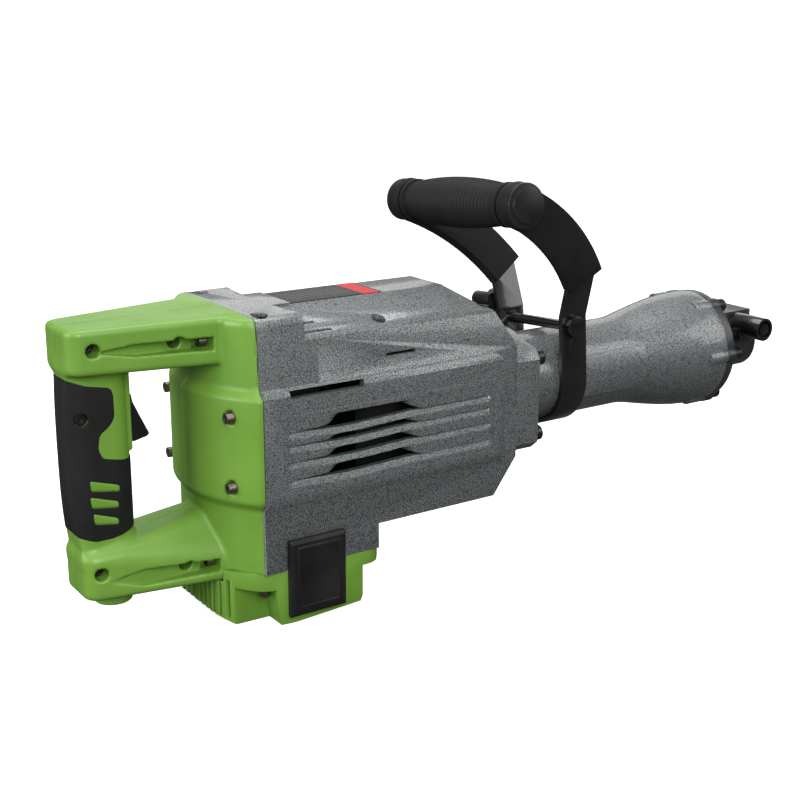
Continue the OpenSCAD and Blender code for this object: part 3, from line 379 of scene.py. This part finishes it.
def welded(node):
    """The node's mesh as a bmesh with its split corners joined and its flat faces made whole."""
    bm = bmesh.new()
    bm.from_mesh(frame["nodes"][node].data)
    bmesh.ops.remove_doubles(bm, verts=bm.verts, dist=2e-5)
    bmesh.ops.dissolve_degenerate(bm, edges=bm.edges, dist=1e-6)
    bmesh.ops.dissolve_limit(
        bm, angle_limit=math.radians(0.4), verts=bm.verts, edges=bm.edges, use_dissolve_boundaries=False
    )
    return bm


def rounded(node, width, segments=2, angle=28.0):
    """A copy of the node with its hard edges rounded."""
    bm = welded(node)
    edges = [
        e for e in bm.edges
        if len(e.link_faces) == 2
        and e.calc_face_angle(0.0) > math.radians(angle)
        and e.calc_length() > 0.25 * width
    ]
    bmesh.ops.bevel(
        bm, geom=edges, offset=width, offset_type="OFFSET", segments=segments, profile=0.6, affect="EDGES",
        clamp_overlap=True, loop_slide=True, miter_outer="SHARP", miter_inner="SHARP",
    )
    mesh = bpy.data.meshes.new(node + "_finish")
    bm.to_mesh(mesh)
    bm.free()
    obj = smooth_object(node + "_finish", mesh, BODY_OF[node], SLOT_OF[node])
    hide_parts(node)
    return obj


# ------------------------------------------------------------------ smooth solids from distance functions


def rounded_corner(a, b):
    """Distance to where the two half-spaces a < 0 and b < 0 overlap, exact outside their corner."""
    return np.hypot(np.maximum(a, 0.0), np.maximum(b, 0.0)) + np.minimum(np.maximum(a, b), 0.0)


def d_box(p, low, high, r=0.0):
    """Distance to a box between two corners, its edges rounded by r."""
    q = [abs(p[i] - (low[i] + high[i]) / 2) - ((high[i] - low[i]) / 2 - r) for i in range(3)]
    outside = np.sqrt(sum(np.maximum(c, 0.0) ** 2 for c in q))
    return outside + np.minimum(np.maximum(np.maximum(q[0], q[1]), q[2]), 0.0) - r


def d_rod(p, axis, a, b, low, high, radius, r=0.0):
    """Distance to a round bar along an axis, through (a, b) in the other two, its rims rounded by r."""
    i, j = [k for k in range(3) if k != axis]
    around = np.hypot(p[i] - a, p[j] - b) - (radius - r)
    along = abs(p[axis] - (low + high) / 2) - ((high - low) / 2 - r)
    return rounded_corner(around, along) - r


def d_outline(u, v, points):
    """Signed distance in the plane to a closed outline of points."""
    best, inside = None, None
    count = len(points)
    for k in range(count):
        (ax, ay), (bx, by) = points[k], points[(k + 1) % count]
        ex, ey = bx - ax, by - ay
        wx, wy = u - ax, v - ay
        t = np.clip((wx * ex + wy * ey) / (ex * ex + ey * ey), 0.0, 1.0)
        d = (wx - ex * t) ** 2 + (wy - ey * t) ** 2
        best = d if best is None else np.minimum(best, d)
        crosses = ((v >= ay) & (v < by)) | ((v >= by) & (v < ay))
        right = ex * wy > ey * wx if ey < 0 else ex * wy < ey * wx
        flip = crosses & right
        inside = flip if inside is None else inside ^ flip
    return np.where(inside, -1.0, 1.0) * np.sqrt(best)


def d_prism(flat, w, low, high, r=0.0):
    """Distance to an outline's extrusion from low to high along w, its rims rounded by r."""
    return rounded_corner(flat + r, abs(w - (low + high) / 2) - ((high - low) / 2 - r)) - r


def join(a, b, k):
    """Union with a fillet of about k."""
    h = np.clip(k - abs(a - b), 0.0, None)
    return np.minimum(a, b) - h * h / (4 * k)


def meet(a, b, k):
    """Intersection with a rounded edge of about k."""
    return -join(-a, -b, k)


def cut(a, b, k):
    """a without b, the cut's rim rounded by about k."""
    return meet(a, -b, k)


def skin_of(field, low, high, step):
    """Vertices and faces of a field's zero level: surface nets on a grid, settled onto the true surface."""
    low, high = np.array(low, float), np.array(high, float)
    count = np.ceil((high - low) / step).astype(int) + 1
    axes = [low[i] + step * np.arange(count[i]) for i in range(3)]
    d = field([axes[0][:, None, None], axes[1][None, :, None], axes[2][None, None, :]])
    d = np.broadcast_to(d, tuple(count)).astype(np.float32)
    for axis in range(3):
        for end in (0, -1):
            index = [slice(None)] * 3
            index[axis] = end
            if (d[tuple(index)] < 0).any():
                d = d.copy()
                d[tuple(index)] = np.maximum(d[tuple(index)], 0.01)
    inside = d < 0
    shape = tuple(count - 1)
    total, hits, crossings = np.zeros((3, *shape), np.float32), np.zeros(shape, np.float32), []
    for axis in range(3):
        first = [slice(None)] * 3
        second = [slice(None)] * 3
        first[axis], second[axis] = slice(0, -1), slice(1, None)
        first, second = tuple(first), tuple(second)
        changed = inside[first] != inside[second]
        crossings.append(changed)
        with np.errstate(divide="ignore", invalid="ignore"):
            t = np.where(changed, d[first] / (d[first] - d[second]), 0.0)
        i, j = [k for k in range(3) if k != axis]
        for di in (0, 1):
            for dj in (0, 1):
                take = [slice(None)] * 3
                take[i] = slice(di, di + shape[i])
                take[j] = slice(dj, dj + shape[j])
                here = changed[tuple(take)]
                hits += here
                total[axis] += np.where(here, t[tuple(take)], 0.0)
                total[i] += here * di
                total[j] += here * dj
    cells = hits > 0
    index = np.full(shape, -1, np.int64)
    index[cells] = np.arange(int(cells.sum()))
    where = np.argwhere(cells)
    points = low + step * (where + (total[:, cells] / hits[cells]).T)
    faces = []
    for axis in range(3):
        i, j = [(1, 2), (2, 0), (0, 1)][axis]
        changed = crossings[axis].copy()
        for other in (i, j):
            for end in (0, -1):
                rim = [slice(None)] * 3
                rim[other] = end
                changed[tuple(rim)] = False
        at = np.argwhere(changed)
        if not len(at):
            continue
        starts = inside[at[:, 0], at[:, 1], at[:, 2]]
        corners = []
        for di, dj in ((-1, -1), (0, -1), (0, 0), (-1, 0)):
            cell = at.copy()
            cell[:, i] += di
            cell[:, j] += dj
            corners.append(index[cell[:, 0], cell[:, 1], cell[:, 2]])
        quad = np.stack(corners, 1)
        quad[~starts] = quad[~starts][:, ::-1]
        faces.append(quad)
    faces = np.concatenate(faces)
    for _ in range(3):
        e = 0.15
        here = field([points[:, 0], points[:, 1], points[:, 2]])
        slope = np.stack([
            (field([points[:, i] + e * (i == k) for i in range(3)]) - here) / e
            for k in range(3)
        ], 1)
        size = np.maximum((slope ** 2).sum(1), 0.2)
        move = -(here / size)[:, None] * slope
        points += np.clip(move, -0.3 * step, 0.3 * step)
    return points, faces


def solid(name, field, low, high, step, body, slot, replaces=(), sharp=180.0):
    """A piece whose surface is the field's zero level, its sizes in millimetres."""
    points, faces = skin_of(field, low, high, step)
    mesh = bpy.data.meshes.new(name)
    mesh.from_pydata((points * MM).tolist(), [], faces.tolist())
    mesh.update()
    obj = smooth_object(name, mesh, body, slot, sharp)
    if replaces:
        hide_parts(*replaces)
    return obj


# ------------------------------------------------------------------ green rear handle

SEAM_X = -580.0                     # joint with the housing
ROOF_Z = 100.0
COVER_FOOT_Z = -97.0
COVER_AXIS_X, COVER_R = -507.2, 98.8
COVER_WALL = 3.5
BAND_R, BAND_SIDE = 104.1, 70.8     # raised band round the cover
BAND_LOW_Z, BAND_TOP_Z = -39.0, 41.0
ARM_FRONT_X, ARM_MIDDLE_X = -597.0, -697.0
GRIP_MID_X, GRIP_STRAIGHT, GRIP_R = -683.2, 8.0, 18.0
GRIP_BOW = (-279.2, 8.0, 429.6)     # X, Z and radius of the grip's bowed back
CORD_X = -675.0
SCREW_POCKET_R, COVER_POCKET_R = 5.2, 5.6
COVER_SEAT_X = -595.7


def arc(cx, cy, rx, ry, start, end, count):
    turns = [math.radians(start + (end - start) * k / count) for k in range(count + 1)]
    return [(cx + rx * math.cos(a), cy + ry * math.sin(a)) for a in turns]


def eased(points, radius, count=4):
    """The outline with each corner replaced by a short curve."""
    out = []
    for k, here in enumerate(points):
        here = Vector(here)
        before, after = Vector(points[k - 1]) - here, Vector(points[(k + 1) % len(points)]) - here
        reach = min(radius, before.length * 0.45, after.length * 0.45)
        a, c = here + before.normalized() * reach, here + after.normalized() * reach
        for n in range(count + 1):
            t = n / count
            out.append(tuple(a * (1 - t) ** 2 + here * 2 * t * (1 - t) + c * t ** 2))
    return out


SHOULDER = [(90, 0), (66.5, 47)] + arc(55, 92, 8, 8, 0, 90, 6) + [(-20, ROOF_Z)]
OPEN_SECTION = [(-20, COVER_FOOT_Z - 60), (90, COVER_FOOT_Z - 60)] + SHOULDER
UPPER_ARM = [(-575, -20), (-575, 41.5), (-597, 41)] + arc(-695.4, 15, 12, 12, 98, 180, 10) + [(-707.4, -20)]
LOWER_ARM = [(-575, -20), (-575, 40.5), (-597, 40)] + arc(-691.5, 13, 12, 12, 99, 180, 10) + [(-703.5, -20)]
UPPER_CHANNEL = [(-603, 76), (-603, 85.5), (-660, 86), (-686, 82.5), (-685, 81.5), (-660, 77)]
LOWER_CHANNEL = [(-603, -98), (-603, -88), (-660, -86), (-686, -91.5), (-685, -92.5), (-660, -99)]
HANDLE_SCREWS = [(-690, 84), (-628, 83), (-692, -85), (-626, -91), (-697.5, 32.5)]
COVER_SCREWS = [(51.7, 26.6), (51.7, -27.7)]


def cover_shape(p):
    x, y, z = p
    side = abs(y)
    around = np.hypot(x - COVER_AXIS_X, y)
    main = meet(around - COVER_R, d_outline(side, z, OPEN_SECTION), 7.0)
    main = np.maximum(main, COVER_FOOT_Z - z)
    above, below = z - BAND_TOP_Z, z - BAND_LOW_Z
    back, flank = around - BAND_R, side - BAND_SIDE
    # Each bevel is a plane whose slope is given by its width and height
    back = meet(back, (back * 6.5 + above * 5.6) / math.hypot(6.5, 5.6), 1.2)
    back = meet(back, (back * 7.0 - below * 5.6) / math.hypot(7.0, 5.6), 1.2)
    flank = meet(flank, (flank * 6.5 + above * 4.7) / math.hypot(6.5, 4.7), 1.2)
    flank = meet(flank, (flank * 7.0 - below * 3.3) / math.hypot(7.0, 3.3), 1.2)
    return np.maximum(join(main, meet(back, flank, 2.5), 1.5), x - SEAM_X)


def cover_hollow(p):
    x, y, z = p
    outer = meet(np.hypot(x - COVER_AXIS_X, y) - COVER_R, d_outline(abs(y), z, OPEN_SECTION), 7.0)
    return np.maximum(outer + COVER_WALL, x - SEAM_X - 9.0)


def arm_shapes(p):
    x, y, z = p
    side = abs(y)
    upper = d_outline(x, side, UPPER_ARM)
    upper = meet(upper, z - (99.2 + (x - ARM_MIDDLE_X) * 0.008), 5.0)
    upper = meet(upper, (65.8 - (x - ARM_MIDDLE_X) * 0.016) - z, 5.0)
    lower = d_outline(x, side, LOWER_ARM)
    lower = meet(lower, -106.0 - z, 5.0)
    lower = meet(lower, z - (-54.0 + (x - ARM_FRONT_X) * 0.1702), 5.0)
    lower = meet(lower, -0.023 * (x - ARM_FRONT_X) + 0.756 * (side - 40.0) + 0.655 * (z + 84.0), 6.0)
    return upper, lower


def handle_shape(p):
    """Outside of the rear handle and cover, with its fillets."""
    x, y, z = p
    upper, lower = arm_shapes(p)
    grip = np.hypot(np.maximum(abs(x - GRIP_MID_X) - GRIP_STRAIGHT, 0.0), y) - GRIP_R
    bow_x, bow_z, bow_r = GRIP_BOW
    grip = meet(grip, np.hypot(x - bow_x, z - bow_z) - bow_r, 1.2)
    grip = np.maximum(grip, abs(z + 2.0) - 76.0)
    lip = d_box(p, (-668, -10.5, 1.5), (-656.8, 10.5, 63), 1.6)
    grip = join(grip, lip, 2.0)
    boss = d_rod(p, 2, CORD_X, 0, -116.5, -98, 14.5, 1.2)
    shape = join(join(join(upper, lower, 1.0), grip, 6.5), boss, 2.0)
    return np.maximum(join(cover_shape(p), shape, 2.5), x - SEAM_X)


def handle_field(p):
    """The handle with its hollows, the trigger's slot, the cord's bore, channels and screw pockets."""
    x, y, z = p
    side = abs(y)
    shape = cut(handle_shape(p), cover_hollow(p), 0.6)
    shape = cut(shape, d_box(p, (-694, -13, -60), (-668, 13, 60), 1.0), 0.4)
    shape = cut(shape, d_box(p, (-670, -7.8, 4.3), (-645, 7.8, 47), 0.8), 0.9)
    shape = cut(shape, d_rod(p, 2, CORD_X, 0, -130, -58, 5.5), 0.9)
    for outline, low, high in ((UPPER_CHANNEL, 76.0, 85.5), (LOWER_CHANNEL, -98.0, -88.0)):
        shape = cut(shape, d_prism(d_outline(x, z, outline), side, 26.0, 60.0, 0.6), 1.4)
        shape = cut(shape, d_box([x, side, z], (-614, 19.5, low), (-603, 60.0, high), 0.8), 1.0)
    for sx, sz in HANDLE_SCREWS:
        shape = cut(shape, d_rod(p, 1, sx, sz, -70, -9.0, SCREW_POCKET_R), 1.3)
    for sy, sz in COVER_SCREWS:
        around = np.hypot(side - sy, z - sz) - COVER_POCKET_R
        shape = cut(shape, np.maximum(around, x - COVER_SEAT_X), 1.2)
    return shape


def half(field, sign):
    """One side of the field, its rim at the middle plane a little rounded."""
    return lambda p: meet(field(p), -sign * p[1], 0.9)


HANDLE_STEP = 1.25
for side_name, sign in (("near", -1), ("far", 1)):
    y_low, y_high = sorted((sign * 74.0, -sign * 2.5))
    solid(
        "handle_" + side_name + "_shell", half(handle_field, sign),
        (-715, y_low, -123), (-577, y_high, 103), HANDLE_STEP,
        "frame", "green_moulding", ["handle_" + side_name], sharp=50.0,
    )

SKIN_EDGE = eased([
    (-716, 66), (-692, 57), (-675, 53.7), (-673, 48), (-673, 31), (-677, 25), (-685, 19.4), (-686.6, 9.3),
    (-683.6, 1.7), (-665, -2.6), (-645, -3.2), (-645, -55), (-662, -57.6), (-679, -61), (-693, -61),
    (-704, -57), (-718, -50),
], 3.0)


def window(x0, z0, x1, h0, h1, grow=0.0):
    """Tapered window in the skin that drops from x0 to x1, grown by a margin."""
    left, right, front_z = x0 - grow, x1 + grow, z0 - 7.0
    corners = [(left, z0 + grow), (right, front_z + grow)]
    corners += [(right, front_z - h1 - grow), (left + 1.0, z0 - h0 - grow)]
    return eased(corners, 1.8 + grow)


SKIN_HOLE_R = 4.5
WINDOWS = [(-694.3, -13.8, -672.5, 7.6, 4.2), (-694.6, -26.2, -674, 8, 4), (-693.2, -39.2, -674.7, 7.8, 4)]


def grip_skin(p):
    """Rubber skin round the grip, open at the pads' windows and the near side's screw."""
    x, y, z = p
    outer = handle_shape(p)
    skin = meet(outer - 0.5, d_outline(x, z, SKIN_EDGE), 1.0)
    skin = meet(skin, -(outer + 1.4), 0.3)
    for w in WINDOWS:
        skin = meet(skin, -d_outline(x, z, window(*w, grow=0.35)), 0.7)
    sx, sz = HANDLE_SCREWS[-1]
    return meet(skin, -(np.hypot(x - sx, z - sz) - SKIN_HOLE_R + 60.0 * (y > 0)), 0.9)


def grip_pads(p):
    """The handle's raised green pads, which fill the windows in the skin."""
    x, y, z = p
    flat = None
    for w in WINDOWS:
        one = d_outline(x, z, window(*w))
        flat = one if flat is None else np.minimum(flat, one)
    pads = meet(handle_shape(p) - 0.75, flat, 1.1)
    return np.maximum(pads, -(abs(y) - 8.0))


SKIN_STEP = 0.75
PADS_STEP = 0.7
for side_name, sign in (("near", -1), ("far", 1)):
    y_low, y_high = sorted((sign * 23.0, -sign * 1.5))
    solid(
        "grip_skin_" + side_name + "_rubber", half(grip_skin, sign),
        (-713, y_low, -66), (-652, y_high, 69), SKIN_STEP,
        "frame", "dark_rubber", ["grip_skin_" + side_name], sharp=60.0,
    )
    y_low, y_high = sorted((sign * 22.5, sign * 12.0))
    solid(
        "grip_pads_" + side_name, grip_pads, (-698, y_low, -55), (-669, y_high, -10), PADS_STEP,
        "frame", "green_moulding", sharp=60.0,
    )


# ------------------------------------------------------------------ louvred side panels

LOUVRE_LINES = [22.0, 12.5, 2.0, -10.8, -25.0]     # Z of the boards' top edges, from the top down
STRIP_HEIGHT = 5.2
ROOM_LOW, ROOM_HIGH = (-565.5, 55.0, -34.5), (-366.5, 80.0, 26.5)
PANEL_LOW, PANEL_HIGH = (-566.0, 63.2, -35.0), (-366.0, 71.2, 27.0)


def swell(t):
    """A smooth rise from 0 to 1."""
    t = np.clip(t, 0.0, 1.0)
    return t * t * (3.0 - 2.0 * t)


def louvre_panel(p):
    """A slab with overlapping louvre boards whose lips sweep up over openings along their middle."""
    x, y, z = p
    side = abs(y)
    face = 71.18 - (z + 39.0) * 0.005
    slab = np.maximum(side - face, 63.4 - side)
    slab = np.maximum(slab, np.maximum(abs(x + 466.0) - 99.8, abs(z + 4.0) - 30.8))
    ends = swell((x + 563.0) / 7.0) * swell((-369.0 - x) / 4.0)
    sag = 2.0 * swell((x + 561.0) / 50.0) * (1.0 - swell((x + 505.0) / 65.0))
    rear = 0.27 * np.clip((x + 561.0) / 33.0, 0.0, 1.0) ** 1.3 + 0.73 * swell((x + 530.0) / 23.0)
    lift = np.minimum(rear, swell((-434.0 - x) / 32.0))
    dive = 6.5 * swell((lift - 0.2) / 0.8)
    for k in range(1, len(LOUVRE_LINES)):
        low = LOUVRE_LINES[k] - sag
        top = LOUVRE_LINES[k - 1] - (5.0 + sag if k > 1 else 0.0)
        lip = low + (top - low) * 0.97 * lift
        slab = cut(slab, np.maximum(z - lip, low - z), 0.35)
        scoop = face - dive * (top - z) / np.maximum(top - lip, 0.8) - side
        slab = cut(slab, np.maximum(scoop * 0.7, np.maximum(z - top, low - z)), 0.5)
        strip = face - 2.1 * ends * (z - low + STRIP_HEIGHT) / STRIP_HEIGHT - side
        slab = cut(slab, np.maximum(strip, z - low), 0.25)
    return slab


def open_panels(obj):
    """Cuts the room for the louvre slabs into the housing's two sides."""
    for sign in (-1, 1):
        bm = bmesh.new()
        bmesh.ops.create_cube(bm, size=1.0)
        middle, size = (Vector(ROOM_LOW) + Vector(ROOM_HIGH)) / 2, Vector(ROOM_HIGH) - Vector(ROOM_LOW)
        for v in bm.verts:
            v.co = (middle + v.co * size) * MM
            v.co.y *= sign
        bmesh.ops.recalc_face_normals(bm, faces=bm.faces)
        mesh = bpy.data.meshes.new("room")
        bm.to_mesh(mesh)
        bm.free()
        room = bpy.data.objects.new("room", mesh)
        bpy.context.scene.collection.objects.link(room)
        modifier = obj.modifiers.new("room", "BOOLEAN")
        modifier.operation = "DIFFERENCE"
        modifier.solver = "FAST"
        modifier.object = room
        depsgraph = bpy.context.evaluated_depsgraph_get()
        done = bpy.data.meshes.new_from_object(obj.evaluated_get(depsgraph))
        obj.modifiers.clear()
        obj.data = done
        bpy.data.objects.remove(room)


PANEL_STEP = 0.75
for side_name, sign in (("near", -1), ("far", 1)):
    y_low, y_high = sorted((sign * PANEL_LOW[1], sign * (PANEL_HIGH[1] + 1.2)))
    solid(
        "louvre_panel_" + side_name, louvre_panel, (PANEL_LOW[0] - 1, y_low, PANEL_LOW[2] - 1),
        (PANEL_HIGH[0] + 1, y_high, PANEL_HIGH[2] + 1), PANEL_STEP, "frame", "hammertone_paint", sharp=40.0,
    )


# ------------------------------------------------------------------ materials and finish of the frame's nodes

# Painted shade: the motor can and crankcase, seen through the louvre openings, get black moulding that stands
# in for the shade inside the housing
BLACKED_FOR_INSIDE_SHADE = ("motor_can", "crankcase")
DARK_SCREWS = ("handle_screws", "roof_screws", "flange_screws", "nose_screws")

# Each node gets its slot's material, except the inside parts, which get black moulding as painted shade
for node, obj in frame["nodes"].items():
    obj.data.materials.clear()
    obj.data.materials.append(MATERIAL["black_moulding" if node in BLACKED_FOR_INSIDE_SHADE else SLOT_OF[node]])

# Width of each node's edge rounding in millimetres
ROUND = {
    "housing": 0.9, "barrel": 0.9, "front_cover": 0.8, "tail_cover": 0.8,
    "brush_cover_near": 0.5, "brush_cover_far": 0.5, "trigger": 0.6, "stop_lever": 0.8, "strap": 0.5,
    "arm_skin_near": 1.2, "arm_skin_far": 1.2, "grip_caps": 0.7, "tie_rod": 0.4, "clamp_knob": 1.0,
    "handle_screws": 0.3, "cover_screws": 0.3, "roof_screws": 0.3, "tail_screws": 0.3, "flange_screws": 0.4,
    "nose_screws": 0.4, "tool_sleeve": 0.4,
}
for node, width in ROUND.items():
    finish = rounded(node, width * MM)
    if node == "housing":
        open_panels(finish)
    if node in DARK_SCREWS:
        finish.data.materials[0] = MATERIAL["dark_screw"]


# ------------------------------------------------------------------ floor, light and camera


def area_light(name, location, target, size, power, size_y=None, colour=(1, 1, 1)):
    data = bpy.data.lights.new(name, "AREA")
    data.shape = "RECTANGLE"
    data.size = size
    data.size_y = size_y or size
    data.energy = power
    data.color = colour
    obj = bpy.data.objects.new(name, data)
    bpy.context.scene.collection.objects.link(obj)
    obj.location = location
    obj.rotation_mode = "QUATERNION"
    obj.rotation_quaternion = (Vector(target) - Vector(location)).to_track_quat("-Z", "Y")
    return obj


def seen_only(nodes):
    """1 for what the camera sees directly, 0 for light that reaches the object."""
    return nodes.new("ShaderNodeLightPath").outputs["Is Camera Ray"]


def floor(level):
    """A wide pale floor, darker in the light that it sends back to the object."""
    tree = Tree("studio_floor", Specular_IOR_Level=0.1, Emission_Color=(1, 1, 1, 1))
    seen = seen_only(tree.nodes)
    pale = tree.mix(tree.span(tree.noise(3, 3), 0.3, 0.7, 0.0, 1.0), (0.50, 0.50, 0.50), (0.52, 0.52, 0.52))
    tree.colour(tree.mix(seen, (0.06, 0.06, 0.06), pale))
    tree.rough(tree.span(tree.noise(400, 2), 0.3, 0.7, 0.7, 0.8))
    tree.put(tree.shader.inputs["Emission Strength"], tree.math("MULTIPLY", seen, 0.86))
    bm = bmesh.new()
    bmesh.ops.create_grid(bm, x_segments=8, y_segments=8, size=30.0)
    mesh = bpy.data.meshes.new("floor")
    bm.to_mesh(mesh)
    bm.free()
    mesh.materials.append(tree.material)
    obj = bpy.data.objects.new("floor", mesh)
    obj.location = (0, 0, level)
    bpy.context.scene.collection.objects.link(obj)


def world(ambient, zenith, seen):
    """Light that grows from the ambient level at the horizon to the zenith level overhead."""
    w = bpy.data.worlds.new("studio")
    bpy.context.scene.world = w
    w.use_nodes = True
    nodes, links = w.node_tree.nodes, w.node_tree.links
    background = nodes["Background"]
    background.inputs[0].default_value = (1, 1, 1, 1)
    direction = nodes.new("ShaderNodeSeparateXYZ")
    links.new(nodes.new("ShaderNodeTexCoord").outputs["Generated"], direction.inputs[0])
    sky = nodes.new("ShaderNodeMapRange")
    sky.inputs["To Min"].default_value = ambient
    sky.inputs["To Max"].default_value = zenith
    links.new(direction.outputs["Z"], sky.inputs["Value"])
    span = nodes.new("ShaderNodeMapRange")
    span.inputs["To Max"].default_value = seen
    links.new(sky.outputs[0], span.inputs["To Min"])
    links.new(seen_only(nodes), span.inputs["Value"])
    links.new(span.outputs[0], background.inputs[1])


CAMERA_YAW, CAMERA_ROLL = 34.47, 0.29     # degrees
CAMERA_AT, CAMERA_FORWARD = (-1.0186, -0.8840, 0.3072), (0.5439, 0.7922, -0.2768)


def camera():
    yaw, roll = math.radians(CAMERA_YAW), math.radians(CAMERA_ROLL)
    position, forward = Vector(CAMERA_AT), Vector(CAMERA_FORWARD).normalized()
    right = Vector((math.cos(yaw), -math.sin(yaw), 0.0))
    up = right.cross(forward)
    right_rolled = math.cos(roll) * right + math.sin(roll) * up
    up_rolled = -math.sin(roll) * right + math.cos(roll) * up
    data = bpy.data.cameras.new("camera")
    data.sensor_width = 36.0
    data.lens = 59.45
    data.clip_start, data.clip_end = 0.01, 60.0
    obj = bpy.data.objects.new("camera", data)
    bpy.context.scene.collection.objects.link(obj)
    rotation = Matrix((right_rolled, up_rolled, -forward)).transposed().to_4x4()
    obj.matrix_world = Matrix.Translation(position) @ rotation
    bpy.context.scene.camera = obj


centre = (cad_low + cad_high) / 2
floor(cad_low.z)
world(0.13, 0.40, 1.02)
area_light("key", centre + Vector((-0.75, -1.7, 0.95)), centre, 1.3, 44)
area_light("top", centre + Vector((0.0, 0.2, 1.9)), centre, 1.9, 41)
area_light("fill", centre + Vector((-2.0, 0.2, 0.6)), centre, 1.0, 31)
area_light("back", centre + Vector((1.25, 1.8, 0.75)), centre, 2.6, 8, 1.0)
area_light("rim", centre + Vector((1.3, -0.9, 0.7)), centre, 0.9, 6)
camera()

bpy.context.scene.view_settings.view_transform = "Standard"
